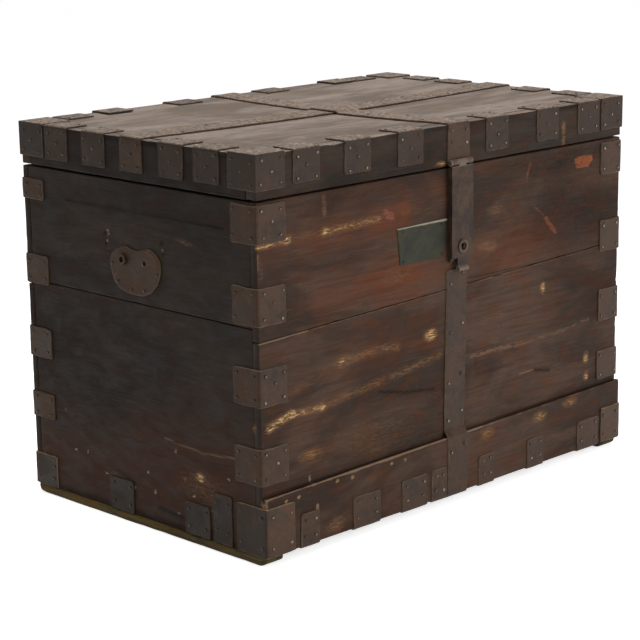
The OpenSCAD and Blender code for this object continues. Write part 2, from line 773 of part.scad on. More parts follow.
// Eye: a round shank through the plate and an ear with the bore for the handle's pin
module right_handle_eyes() {
    ear_y = -bail_x;
    color(iron) at_right() for (s = [-1, 1]) difference() {
        union() {
            translate([s * eye_gap / 2 - lug_w / 2, ear_y, eye_z]) rotate([0, 90, 0])
                cylinder(h = lug_w, r = lug_r);
            block([s * eye_gap / 2 - lug_w / 2, ear_y, eye_z - lug_r],
                  [s * eye_gap / 2 + lug_w / 2, -half_w - plate_t, eye_z + lug_r]);
            translate([s * eye_gap / 2, -half_w, eye_z]) rotate([90, 0, 0])
                cylinder(h = plate_t + weld, r = eye_hole_r - pin_clear);
        }
        translate([s * eye_gap / 2 - lug_w, ear_y, eye_z]) rotate([0, 90, 0])
            cylinder(h = 2 * lug_w, r = bail_pin_r + pin_clear);
    }
}

// Drop handle: a straight grip, two bends, splayed arms and a pin in through each eye
module right_handle_bail() {
    grip_z = eye_z - bail_drop;
    arm_x = eye_gap / 2 + lug_w / 2 + eye_clear + bail_r;
    splay = atan((grip_l / 2 + bail_bend - arm_x) / (bail_drop - bail_bend));
    bend_z = grip_z + bail_bend;
    rise = bail_drop - bail_bend - bail_bend * sin(splay);
    top_x = grip_l / 2 + bail_bend * cos(splay) - rise * tan(splay);
    pin_x = eye_gap / 2 - lug_w / 2 - pin_past;
    color(iron) at_right() translate([0, -bail_x, 0]) {
        translate([-grip_l / 2, 0, grip_z]) rotate([0, 90, 0]) cylinder(h = grip_l, r = bail_r, $fn = 32);
        for (s = [0, 1]) mirror([s, 0, 0]) {
            translate([grip_l / 2, 0, bend_z]) rotate([90, 0, 0]) rotate([0, 0, -90])
                rotate_extrude(angle = 90 + splay) translate([bail_bend, 0]) circle(bail_r, $fn = 32);
            translate([top_x, 0, eye_z]) rotate([0, 180 - splay, 0])
                cylinder(h = rise / cos(splay) + bail_taper, r = bail_r - bail_taper, $fn = 32);
            translate([top_x, 0, eye_z]) sphere(bail_r - bail_taper, $fn = 32);
            translate([pin_x, 0, eye_z]) rotate([0, 90, 0])
                cylinder(h = top_x - pin_x, r = bail_pin_r, $fn = 32);
        }
    }
}

// Rivets round the lower rim of a handle plate: one at each side, one on each slant, one at the foot
module rivet_ring(face) {
    side = [lobe_c[0] + lobe_r - rivet_in, lobe_z];
    slant = (lobe_c + foot_c) / 2 + (min(lobe_r, plate_foot_r) - rivet_in) * touch_n;
    for (at = [side, slant], s = [-1, 1]) side_nail(s * at[0], at[1], face);
    side_nail(0, plate_foot_z - plate_foot_r + rivet_in, face);
}

module handle_rivets() {
    color(worn_iron) {
        at_left() rivet_ring(-half_w - plate_t);
        at_right() rivet_ring(-half_w - plate_t);
    }
}

// Lid

module lid_board(y0, y1) {
    color(top_wood)
        block([-half_w + rail_t, y0, lid_top - lid_board_t], [half_w - rail_t, y1, lid_top]);
}

module lid_front_board() lid_board(front_y + rail_t, 0);
module lid_back_board() lid_board(0, half_d - rail_t);

module lid_front_rail() color(wood) block([-half_w, front_y, lid_z], [half_w, front_y + rail_t, lid_top]);
module lid_back_rail() color(wood) block([-half_w, half_d - rail_t, lid_z], [half_w, half_d, lid_top]);
module lid_end_rail(side) {
    color(dark_wood) translate([side * (half_w - rail_t / 2), 0, lid_z + lid_h / 2])
        cube([rail_t, body_d - 2 * rail_t, lid_h], center = true);
}
module lid_left_rail() lid_end_rail(-1);
module lid_right_rail() lid_end_rail(1);

// Strap along the middle of the lid and down both ends
module lid_long_strap() {
    color(worn_iron) along_y(-strap_w / 2, strap_w / 2) for (s = [0, 1]) mirror([s, 0]) {
        translate([-half_w, lid_top]) mirror([0, 1]) angle_section(half_w, clip_drop, strap_t);
    }
}

// Path of the centre strap over the lid: it climbs over the long strap
module centre_strap_path() {
    flat_end = strap_w / 2 + joggle_run;
    rise_end = strap_w / 2 + 1;
    z = lid_top;
    for (leaf = [[0, hasp_z], [1, hinge_z]]) mirror([leaf[0], 0])
        translate([-half_d, z]) mirror([0, 1])
            angle_section(half_d - flat_end, z - leaf[1], strap_t);
    polygon([[-flat_end - weld, z], [-flat_end, z], [-rise_end, z + strap_t], [rise_end, z + strap_t],
             [flat_end, z], [flat_end + weld, z], [flat_end + weld, z + strap_t],
             [flat_end, z + strap_t], [rise_end, z + 2 * strap_t], [-rise_end, z + 2 * strap_t],
             [-flat_end, z + strap_t], [-flat_end - weld, z + strap_t]]);
}

// Two outer knuckles of a hinge
module outer_knuckles(x, y, z, r, pin_r) {
    m = knuckle_w / 2 + run_clear;
    knuckle(x - strap_w / 2, x - m, y, z, r, pin_r);
    knuckle(x + m, x + strap_w / 2, y, z, r, pin_r);
}

module lid_centre_strap() {
    a = strap_x - strap_w / 2;
    b = strap_x + strap_w / 2;
    m = knuckle_w / 2 + run_clear;
    color(worn_iron) difference() {
        union() {
            along_x(a, b) centre_strap_path();
            outer_knuckles(strap_x, hasp_y, hasp_z, hasp_barrel_r, hasp_pin_r);
            outer_knuckles(strap_x, hinge_y, hinge_z, hinge_barrel_r, hinge_pin_r);
        }
        knuckle_space(strap_x - m, strap_x + m, hasp_y, hasp_z, hasp_barrel_r);
        knuckle_space(strap_x - m, strap_x + m, hinge_y, hinge_z, hinge_barrel_r);
        knuckle_bore(a, b, hasp_y, hasp_z, hasp_pin_r);
        knuckle_bore(a, b, hinge_y, hinge_z, hinge_pin_r);
    }
}

module lid_outer_hinge_leaves() {
    m = knuckle_w / 2 + run_clear;
    color(iron) for (i = [0, 2]) {
        x = hinge_at[i];
        difference() {
            union() {
                along_x(x - strap_w / 2, x + strap_w / 2)
                    mirror([1, 0]) translate([-half_d, lid_top]) mirror([0, 1])
                        angle_section(clip_over, lid_top - hinge_z, strap_t);
                outer_knuckles(x, hinge_y, hinge_z, hinge_barrel_r, hinge_pin_r);
            }
            knuckle_space(x - m, x + m, hinge_y, hinge_z, hinge_barrel_r);
            knuckle_bore(x - strap_w / 2, x + strap_w / 2, hinge_y, hinge_z, hinge_pin_r);
        }
    }
}

// Places of the back clips: the front ones, less those that the outer hinges take
lid_back_clip_at = [for (share = lid_clip_at)
    let (x = half_w - share * body_w)
    if (abs(x - hinge_at[0]) > clip_w && abs(x - hinge_at[2]) > clip_w) share];

// Row of clips over one top edge of the lid
module lid_clip_row(shares, length, half) {
    for (share = shares) top_clip(share * length - length / 2, half);
}

module lid_front_clips() color(worn_iron) lid_clip_row(lid_clip_at, body_w, half_d);
module lid_back_clips() color(iron) at_back() lid_clip_row(lid_back_clip_at, body_w, half_d);
module lid_left_clips() color(iron) at_left() lid_clip_row(lid_end_clip_at, body_d, half_w);
module lid_right_clips() color(iron) at_right() lid_clip_row(lid_end_clip_at, body_d, half_w);

module lid_corner_caps() {
    color(worn_iron) for (mx = [0, 1], my = [0, 1]) mirror([mx, 0, 0]) mirror([0, my, 0])
        translate([-half_w, front_y, 0]) {
            translate([0, 0, lid_top - clip_drop]) linear_extrude(clip_drop + clip_t)
                angle_section(clip_w, clip_w, clip_t);
            translate([0, 0, lid_top]) linear_extrude(clip_t) difference() {
                translate([-clip_t, -clip_t]) square(clip_w + clip_t);
                difference() {
                    translate([-clip_t, -clip_t]) square(clip_t);
                    circle(clip_t);
                }
            }
        }
}

// Hasp

module hasp_pin() color(iron) hinge_pin(strap_x, strap_w, hasp_y, hasp_z, hasp_pin_r);

module hasp_plate() {
    m = knuckle_w / 2;
    w = strap_w / 2 - run_clear;
    color(worn_iron) difference() {
        union() {
            knuckle(strap_x - m, strap_x + m, hasp_y, hasp_z, hasp_barrel_r, hasp_pin_r);
            block([strap_x - m, hasp_face, hasp_top - weld], [strap_x + m, hasp_back, hasp_z]);
            block([strap_x - w, hasp_face, hasp_end], [strap_x + w, hasp_back, hasp_top]);
            // Tongue with a finger curl at its end
            block([strap_x - tongue_w / 2, hasp_face, hasp_end - tongue_l],
                  [strap_x + tongue_w / 2, hasp_back, hasp_end + weld]);
            translate([strap_x - tongue_w / 2, hasp_face, hasp_end - tongue_l]) rotate([0, 90, 0])
                cylinder(h = tongue_w, r = curl_out);
        }
        knuckle_bore(strap_x - m, strap_x + m, hasp_y, hasp_z, hasp_pin_r);
        along_y(hasp_face - 1, hasp_back + 1) translate([strap_x, key_z]) keyhole();
    }
}

module keyhole_ring() {
    color(worn_iron) along_y(hasp_face - ring_t, hasp_face) translate([strap_x, key_z - 1]) difference() {
        circle(ring_r);
        circle(ring_hole_r);
    }
}

// Staple on the back of the hasp, with a window for the bolt
module hasp_staple() {
    window = bolt_side / 2 + lock_clear;
    color(iron) along_x(strap_x - staple_t / 2, strap_x + staple_t / 2) difference() {
        translate([hasp_back, staple_z - staple_h / 2]) square([staple_reach, staple_h]);
        translate([bolt_y - window, staple_z - window]) square(2 * window);
    }
}

// Nail groups

module clip_side_nails(at, half) nail_five(at, lid_top - clip_drop / 2, clip_w, clip_drop, -half - clip_t);
module clip_top_nails(at, half) {
    for (s = [-1, 1])
        top_nail(at + s * (clip_w / 2 - nail_in), -half + clip_over - nail_in, lid_top + clip_t);
}

module lid_nails() {
    color(worn_iron) {
        for (share = lid_clip_at) at_front() {
            clip_side_nails(share * body_w - half_w, half_d);
            clip_top_nails(share * body_w - half_w, half_d);
        }
        for (share = lid_back_clip_at) at_back() {
            clip_side_nails(share * body_w - half_w, half_d);
            clip_top_nails(share * body_w - half_w, half_d);
        }
        for (a = [-90, 90], share = lid_end_clip_at) rotate([0, 0, a]) {
            clip_side_nails(share * body_d - half_d, half_w);
            clip_top_nails(share * body_d - half_d, half_w);
        }
        // Corner caps: five nails on each side leaf
        for (s = [-1, 1]) {
            x = half_w - clip_w / 2;
            y = half_d - clip_w / 2;
            at_front() clip_side_nails(s * x, half_d);
            at_back() clip_side_nails(s * x, half_d);
            at_left() clip_side_nails(s * y, half_w);
            at_right() clip_side_nails(s * y, half_w);
        }
        // Long strap, along its top and on its end leaves
        long_pitch = (half_w - strap_w / 2) / (long_strap_nails + 1);
        for (s = [-1, 1], i = [1 : long_strap_nails])
            top_nail(strap_x + s * (strap_w / 2 + i * long_pitch),
                     s * (strap_w / 2 - nail_in) * (i % 2 == 0 ? 1 : -1), lid_top + strap_t);
        at_left() nail_five(0, lid_top - clip_drop / 2, strap_w, clip_drop, -half_w - strap_t);
        at_right() nail_five(0, lid_top - clip_drop / 2, strap_w, clip_drop, -half_w - strap_t);
        // Centre strap, along its top and on its front and back leaves
        flat_end = strap_w / 2 + joggle_run;
        centre_pitch = (half_d - flat_end) / (centre_strap_nails + 1);
        for (s = [-1, 1], i = [1 : centre_strap_nails])
            top_nail(strap_x + (i % 2 == 0 ? 1 : -1) * (strap_w / 2 - nail_in),
                     s * (flat_end + i * centre_pitch), lid_top + strap_t);
        for (s = [-1, 1], z = [lid_top - nail_in, (lid_top + hasp_z) / 2])
            side_nail(strap_x + s * (strap_w / 2 - nail_in), z, front_y - strap_t);
        for (x = hinge_at, s = [-1, 1], z = [lid_top - nail_in, (lid_top + hinge_z) / 2])
            at_back() side_nail(-x + s * (strap_w / 2 - nail_in), z, -half_d - strap_t);
    }
}

// Two columns of nails on a clip at a side's foot
module foot_nails(at, w, h, rows, y) {
    for (s = [-1, 1], row = rows) side_nail(at + s * (w / 2 - nail_in), case_z + row * h, y);
}

module case_nails() {
    color(worn_iron) {
        // Upright corner clips, both leaves
        for (corner = [[front_left_clips, 0, 0], [front_right_clips, 1, 0], [back_left_clips, 0, 1],
                       [back_right_clips, 1, 1]])
            mirror([corner[1], 0, 0]) mirror([0, corner[2], 0])
                for (clip = corner[0], q = [nail_in, clip_w - nail_in], h = [-1, 1]) {
                    z = clip_z(clip) + h * (clip_h(clip) / 2 - nail_in);
                    side_nail(q - half_w, z, front_y - clip_t);
                    at_left() side_nail(half_d - q, z, -half_w - clip_t);
                }
        // Foot clips along the front and back
        for (i = [0 : len(foot_clip_x) - 1])
            foot_nails(foot_clip_x[i], foot_clip_all_w[i], foot_clip_h, foot_nail_rows, plinth_y - clip_t);
        at_back() for (share = lid_clip_at)
            foot_nails(share * body_w - half_w, clip_w, foot_clip_h, foot_nail_rows, -half_d - clip_t);
        // Foot clips on the ends
        at_left() {
            for (share = end_foot_clip_at)
                foot_nails(share * body_d - half_d, clip_w, end_clip_h, end_nail_rows, -half_w - clip_t);
            foot_nails(half_d - tall_clip_in, tall_clip_w, tall_clip_h, end_nail_rows, -half_w - clip_t);
            foot_nails(half_d - clip_w / 2, clip_w, plinth_plate_left, end_nail_rows, -half_w - clip_t);
        }
        at_right() {
            for (share = lid_end_clip_at)
                foot_nails(share * body_d - half_d, clip_w, end_clip_h, end_nail_rows, -half_w - clip_t);
            foot_nails(clip_w / 2 - half_d, clip_w, plinth_plate_right, end_nail_rows, -half_w - clip_t);
        }
        // Corner plates on the plinth
        foot_nails(clip_w / 2 - half_w, clip_w, plinth_plate_left, end_nail_rows, plinth_y - clip_t);
        foot_nails(half_w - clip_w / 2, clip_w, plinth_plate_right, end_nail_rows, plinth_y - clip_t);
        // Lower strap, above and below its step, and the hinge leaves
        for (s = [-1, 1], z = concat([for (d = low_strap_nails) low_top_z - d], [step_top + step_nail_off]))
            side_nail(low_strap_x(z) + s * (low_strap_w / 2 - nail_in), z + s * nail_stagger,
                      front_y - strap_t);
        under_z = step_low - step_nail_off;
        for (s = [-1, 1])
            side_nail(low_strap_x(under_z) + s * (low_strap_w / 2 - nail_in), under_z + s * nail_stagger,
                      plinth_y - strap_t);
        for (x = hinge_at, s = [-1, 1], d = [2 * nail_in, hinge_leaf_h / 2, hinge_leaf_h - nail_in])
            at_back() side_nail(-x + s * (strap_w / 2 - nail_in), hinge_z - d, -half_d - strap_t);
    }
}

// The trunk is shifted so that the origin is under the middle of its whole outline
module centred() translate([-mid_x, -mid_y, 0]) children();

centred() front_upper_board();
centred() front_lower_board();
centred() back_upper_board();
centred() back_lower_board();
centred() left_upper_board();
centred() left_lower_board();
centred() right_upper_board();
centred() right_lower_board();
centred() bottom_boards();
centred() front_plinth_board();
centred() left_skid();
centred() right_skid();
centred() front_left_corner_clips();
centred() front_right_corner_clips();
centred() back_left_corner_clips();
centred() back_right_corner_clips();
centred() plinth_corner_plates();
centred() front_foot_clips();
centred() back_foot_clips();
centred() left_foot_clips();
centred() right_foot_clips();
centred() front_strap();
centred() back_centre_hinge_leaf();
centred() back_outer_hinge_leaves();
centred() lid_hinge_pins();
centred() lock_plate();
centred() lock_case();
centred() name_plate();
centred() name_plate_pins();
centred() left_handle_plate();
centred() left_handle_collar();
centred() right_handle_plate();
centred() right_handle_eyes();
centred() case_nails();
centred() handle_rivets();
centred() lid_front_board();
centred() lid_back_board();
centred() lid_front_rail();
centred() lid_back_rail();
centred() lid_left_rail();
centred() lid_right_rail();
centred() lid_long_strap();
centred() lid_centre_strap();
centred() lid_outer_hinge_leaves();
centred() lid_front_clips();
centred() lid_back_clips();
centred() lid_left_clips();
centred() lid_right_clips();
centred() lid_corner_caps();
centred() lid_nails();
centred() hasp_pin();
centred() hasp_plate();
centred() hasp_staple();
centred() keyhole_ring();
centred() lock_bolt();
centred() right_handle_bail();
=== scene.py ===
# Looks of an iron-bound wooden storage trunk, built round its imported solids.
# Sizes below are in millimetres from the middle of the wooden case, with the floor at zero.
import math

import bpy
import numpy as np
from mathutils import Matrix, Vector


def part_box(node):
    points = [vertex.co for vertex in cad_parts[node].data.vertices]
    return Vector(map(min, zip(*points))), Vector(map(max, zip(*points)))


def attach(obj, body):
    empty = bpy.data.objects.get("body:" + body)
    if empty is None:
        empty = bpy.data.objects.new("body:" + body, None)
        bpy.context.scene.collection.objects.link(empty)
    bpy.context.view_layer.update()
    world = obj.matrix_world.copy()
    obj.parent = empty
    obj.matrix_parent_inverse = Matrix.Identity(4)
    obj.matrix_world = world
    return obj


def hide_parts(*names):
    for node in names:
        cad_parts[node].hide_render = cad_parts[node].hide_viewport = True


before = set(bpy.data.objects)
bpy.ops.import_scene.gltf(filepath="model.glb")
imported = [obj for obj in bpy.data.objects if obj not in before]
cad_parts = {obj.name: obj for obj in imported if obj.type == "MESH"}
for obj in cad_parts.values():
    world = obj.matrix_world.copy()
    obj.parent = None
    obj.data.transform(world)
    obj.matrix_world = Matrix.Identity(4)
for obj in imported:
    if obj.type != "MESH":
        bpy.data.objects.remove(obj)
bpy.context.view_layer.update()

# Sizes of the solids
HALF_W = 429.0
HALF_D = 273.0
CASE_Z = 15.0
CASE_TOP = 549.0
LID_Z = 551.0
LID_TOP = 617.0
WALL = 22.0
REACH = 259.0
PLINTH_Y = -282.0
CLIP_T = 2.5
CLIP_W = 57.0
DROP = 52.0
OVER = 42.0
STRAP_T = 3.0
STRAP_W = 51.0
STRAP_X = 7.0
END_SEAM = 362.0
BACK_SEAM = 355.0
SAG = 4.3
LONG = 2 * HALF_W
DEEP = 2 * HALF_D
PLATE_T = 1.5
# From the middle hinge to the outer ones, and from a clip's edge to its nails
HINGE_X = 262.0
INSET = 9.0
# Heights at the left and right ends of the front's slanting lines
FRONT_SEAM = (343.0, 368.0)
PLINTH_TOP = (107.0, 120.0)
SKID_X = 409.0
SKID_HALF = 22.0
SKID_FRONT = -277.5

board_low, board_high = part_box("front_upper_board")
SHIFT = np.array([(board_low.x + board_high.x) / 2, board_low.y + HALF_D / 1000, 0.0])


def to_frame(points):
    return np.asarray(points, float).reshape(-1, 3) / 1000 + SHIFT


# Noise


def corner_value(ix, iy, iz, seed):
    h = (ix * 73856093) ^ (iy * 19349663) ^ (iz * 83492791) ^ (seed * 40503 + 977)
    h = ((h ^ (h >> 13)) * 1274126177) & 0xFFFFFFFF
    h = ((h ^ (h >> 15)) * 668265263) & 0xFFFFFFFF
    return ((h >> 8) & 0xFFFF) / 65535.0


def noise(points, scale, seed=0):
    """Smooth noise from -1 to 1. scale is the size of its blobs in mm, one number or one for each axis."""
    q = np.asarray(points, float) / scale
    cell = np.floor(q).astype(np.int64)
    f = q - cell
    f = f * f * (3 - 2 * f)
    total = np.zeros(len(q))
    for dx in (0, 1):
        for dy in (0, 1):
            for dz in (0, 1):
                share = (f[:, 0] if dx else 1 - f[:, 0]) * (f[:, 1] if dy else 1 - f[:, 1])
                share = share * (f[:, 2] if dz else 1 - f[:, 2])
                total += share * corner_value(cell[:, 0] + dx, cell[:, 1] + dy, cell[:, 2] + dz, seed)
    return total * 2 - 1


def rng(seed):
    return np.random.RandomState(seed)


# Meshes


def linked(name, data):
    """A new object, placed in the scene."""
    thing = bpy.data.objects.new(name, data)
    bpy.context.scene.collection.objects.link(thing)
    return thing


def new_object(name, points, faces, body, node=None, sharp=None):
    mesh = bpy.data.meshes.new(name)
    mesh.from_pydata(to_frame(points).tolist(), [], faces)
    mesh.polygons.foreach_set("use_smooth", [True] * len(mesh.polygons))
    mesh.update()
    if sharp is not None:
        mesh.set_sharp_from_angle(angle=math.radians(sharp))
    piece = linked(name, mesh)
    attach(piece, body)
    for replaced in ([node] if isinstance(node, str) else node or []):
        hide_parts(replaced)
    return piece


def join(parts):
    """Several (points, faces, values) as one, with the values kept point by point."""
    points, faces, values, start = [], [], [], 0
    for p, f, v in parts:
        points.append(p)
        faces.extend([tuple(i + start for i in face) for face in f])
        values.append(v)
        start += len(p)
    return np.concatenate(points), faces, np.concatenate(values)


def set_values(piece, name, values):
    """Writes an attribute of a piece's points: numbers, or colours where values has four columns."""
    mesh = piece.data
    values = np.asarray(values, np.float32)
    if values.ndim == 1:
        held = mesh.attributes.get(name) or mesh.attributes.new(name, "FLOAT", "POINT")
        held.data.foreach_set("value", values)
    else:
        mesh.color_attributes.new(name, "FLOAT_COLOR", "POINT").data.foreach_set("color", values.ravel())


def get_rim(piece):
    rim = np.zeros(len(piece.data.vertices), np.float32)
    piece.data.attributes["rim"].data.foreach_get("value", rim)
    return rim


def second_material(piece, material, test):
    """Gives a piece a second material on the faces whose normal passes the test."""
    piece.data.materials.append(material)
    for polygon in piece.data.polygons:
        polygon.material_index = int(test(polygon.normal))


def grid_quads(grid, flip=False):
    a, b, c, d = grid[:-1, :-1], grid[1:, :-1], grid[1:, 1:], grid[:-1, 1:]
    quads = np.stack([a, b, c, d], -1).reshape(-1, 4)
    return quads[:, ::-1] if flip else quads


def box_surface(xs, ys, zs):
    """Closed surface of a box with lattice lines at these places."""
    nx, ny, nz = len(xs), len(ys), len(zs)
    i, j, k = np.meshgrid(np.arange(nx), np.arange(ny), np.arange(nz), indexing="ij")
    on = (i == 0) | (i == nx - 1) | (j == 0) | (j == ny - 1) | (k == 0) | (k == nz - 1)
    index = -np.ones((nx, ny, nz), int)
    index[on] = np.arange(on.sum())
    points = np.stack([xs[i[on]], ys[j[on]], zs[k[on]]], 1)
    quads = [grid_quads(index[0], True), grid_quads(index[-1]), grid_quads(index[:, 0]),
             grid_quads(index[:, -1], True), grid_quads(index[:, :, 0], True), grid_quads(index[:, :, -1])]
    return points, np.concatenate(quads)


def lines(a, b, cell, edge):
    """Lattice lines from a to b, closer near both ends."""
    near = np.array([0.0, 0.22, 0.55, 1.0]) * edge
    if b - a < 4 * edge:
        near = np.array([0.0, 0.12, 0.3]) * (b - a)
    count = max(1, int(round((b - a - 2 * near[-1]) / cell)))
    inner = np.linspace(a + near[-1], b - near[-1], count + 1)
    return np.concatenate([a + near[:-1], inner, (b - near[:-1])[::-1]])


def slab(low, high, cell, radius, wear=1.0, seed=0, edge=6.0, warp=0.7, along=0):
    """Worn board or block with rounded and chipped edges, a slow warp and shallow dents, never proud of
    its box."""
    low, high = np.array(low, float), np.array(high, float)
    cells = cell if hasattr(cell, "__len__") else (cell,) * 3
    points, faces = box_surface(*[lines(low[a], high[a], cells[a], edge) for a in range(3)])
    stretch = np.full(3, 22.0)
    stretch[along] = 70.0
    rough = noise(points, stretch, seed) * 0.6 + noise(points, stretch / 3, seed + 1) * 0.4
    chip = np.clip(noise(points, stretch * 0.55, seed + 2) - 0.45, 0, 1) * 5.5
    r = np.clip(radius * (1 + 0.55 * rough) + wear * chip * radius, 0.25, (high - low).min() * 0.42)
    inner = np.clip(points, low + r[:, None], high - r[:, None])
    out = points - inner
    length = np.maximum(np.linalg.norm(out, axis=1), 1e-9)
    normal = out / length[:, None]
    depth = warp * 0.5 * (1 + noise(points, 150, seed + 3))
    depth += 0.25 * warp * (1 + noise(points, stretch * 0.5, seed + 4))
    depth += warp * 2.2 * np.clip(noise(points, 17, seed + 5) - 0.62, 0, 1)
    points = inner + normal * (np.minimum(length, r) - depth)[:, None]
    return points, [tuple(f) for f in faces.tolist()]


def edge_share(points, low, high, width):
    """1 at the edges of a box's surface, fading to 0 at this distance from them."""
    near = np.minimum(points - np.array(low, float), np.array(high, float) - points)
    second = np.sort(near, axis=1)[:, 1]
    return np.exp(-np.clip(second, 0, None) / width)


def sag(x, y):
    """How far the lid's top has sunk at a place."""
    a = np.clip(1 - (np.asarray(x) / 407.0) ** 2, 0, 1)
    b = np.clip(1 - (np.asarray(y) / 251.0) ** 2, 0, 1)
    return SAG * a * b


# Seams of the front


def seam(x):
    return FRONT_SEAM[0] + (FRONT_SEAM[1] - FRONT_SEAM[0]) * (np.asarray(x) + HALF_W) / (2 * HALF_W)


def plinth_top(x):
    return PLINTH_TOP[0] + (PLINTH_TOP[1] - PLINTH_TOP[0]) * (np.asarray(x) + HALF_W) / (2 * HALF_W)


# Camera


def make_camera():
    data = bpy.data.cameras.new("camera")
    data.lens = 114.363
    data.sensor_width = 36.0
    data.shift_x = -0.03125
    data.shift_y = 0.04688
    data.clip_start, data.clip_end = 0.1, 200.0
    camera = linked("camera", data)
    camera.rotation_euler = [math.radians(v) for v in (75.7073, 0.6645, -45.6202)]
    camera.location = (-2.38609, -2.35673, 1.05956)
    bpy.context.scene.camera = camera


make_camera()


# Materials


def srgb(r, g, b):
    def one(c):
        c = c / 255
        return c / 12.92 if c <= 0.04045 else ((c + 0.055) / 1.055) ** 2.4
    return (one(r), one(g), one(b), 1.0)


class Shader:
    """A small wrapper that adds nodes to one material."""

    def __init__(self, name):
        self.material = bpy.data.materials.new(name)
        self.material.use_nodes = True
        self.tree = self.material.node_tree
        self.bsdf = self.tree.nodes["Principled BSDF"]
        self.coords = self.tree.nodes.new("ShaderNodeTexCoord").outputs["Object"]

    def put(self, socket, value):
        if hasattr(value, "is_output"):
            self.tree.links.new(value, socket)
        else:
            socket.default_value = value

    def scaled(self, scale, offset=(0, 0, 0)):
        node = self.tree.nodes.new("ShaderNodeMapping")
        self.put(node.inputs["Vector"], self.coords)
        node.inputs["Scale"].default_value = scale
        node.inputs["Location"].default_value = offset
        return node.outputs["Vector"]

    def noise(self, scale, detail=3.0, rough=0.55, distortion=0.0, offset=(0, 0, 0)):
        node = self.tree.nodes.new("ShaderNodeTexNoise")
        vector = scale if hasattr(scale, "__len__") else (scale,) * 3
        self.put(node.inputs["Vector"], self.scaled(vector, offset))
        node.inputs["Scale"].default_value = 1.0
        node.inputs["Detail"].default_value = detail
        node.inputs["Roughness"].default_value = rough
        node.inputs["Distortion"].default_value = distortion
        return node.outputs["Fac"]

    def ramp(self, value, low, high, out_low=0.0, out_high=1.0):
        node = self.tree.nodes.new("ShaderNodeMapRange")
        node.interpolation_type = "SMOOTHSTEP"
        self.put(node.inputs["Value"], value)
        for name, number in zip(("From Min", "From Max", "To Min", "To Max"), (low, high, out_low, out_high)):
            node.inputs[name].default_value = number
        return node.outputs["Result"]

    def math(self, kind, a, b=0.0, clamp=False):
        node = self.tree.nodes.new("ShaderNodeMath")
        node.operation = kind
        node.use_clamp = clamp
        self.put(node.inputs[0], a)
        self.put(node.inputs[1], b)
        return node.outputs[0]

    def plus(self, a, b, clamp=False):
        return self.math("ADD", a, b, clamp)

    def times(self, a, b, clamp=False):
        return self.math("MULTIPLY", a, b, clamp)

    def mix(self, share, a, b):
        node = self.tree.nodes.new("ShaderNodeMix")
        node.data_type = "RGBA"
        self.put(node.inputs[0], share)
        self.put(node.inputs[6], a)
        self.put(node.inputs[7], b)
        return node.outputs[2]

    def value(self, name):
        node = self.tree.nodes.new("ShaderNodeAttribute")
        node.attribute_name = name
        return node

    def channels(self, name):
        node = self.value(name)
        split = self.tree.nodes.new("ShaderNodeSeparateColor")
        self.put(split.inputs[0], node.outputs["Color"])
        return split.outputs[0], split.outputs[1], split.outputs[2], node.outputs["Alpha"]

    def finish(self, color, roughness, height=None, strength=0.5, distance=0.001, metallic=0.0, specular=0.5):
        self.put(self.bsdf.inputs["Base Color"], color)
        self.put(self.bsdf.inputs["Roughness"], roughness)
        self.put(self.bsdf.inputs["Metallic"], metallic)
        self.bsdf.inputs["Specular IOR Level"].default_value = specular
        if height is not None:
            bump = self.tree.nodes.new("ShaderNodeBump")
            bump.inputs["Strength"].default_value = strength
            bump.inputs["Distance"].default_value = distance
            self.put(bump.inputs["Height"], height)
            self.put(self.bsdf.inputs["Normal"], bump.outputs["Normal"])
        return self.material


WOOD_BUMP = 0.0012
IRON_BUMP = 0.0011


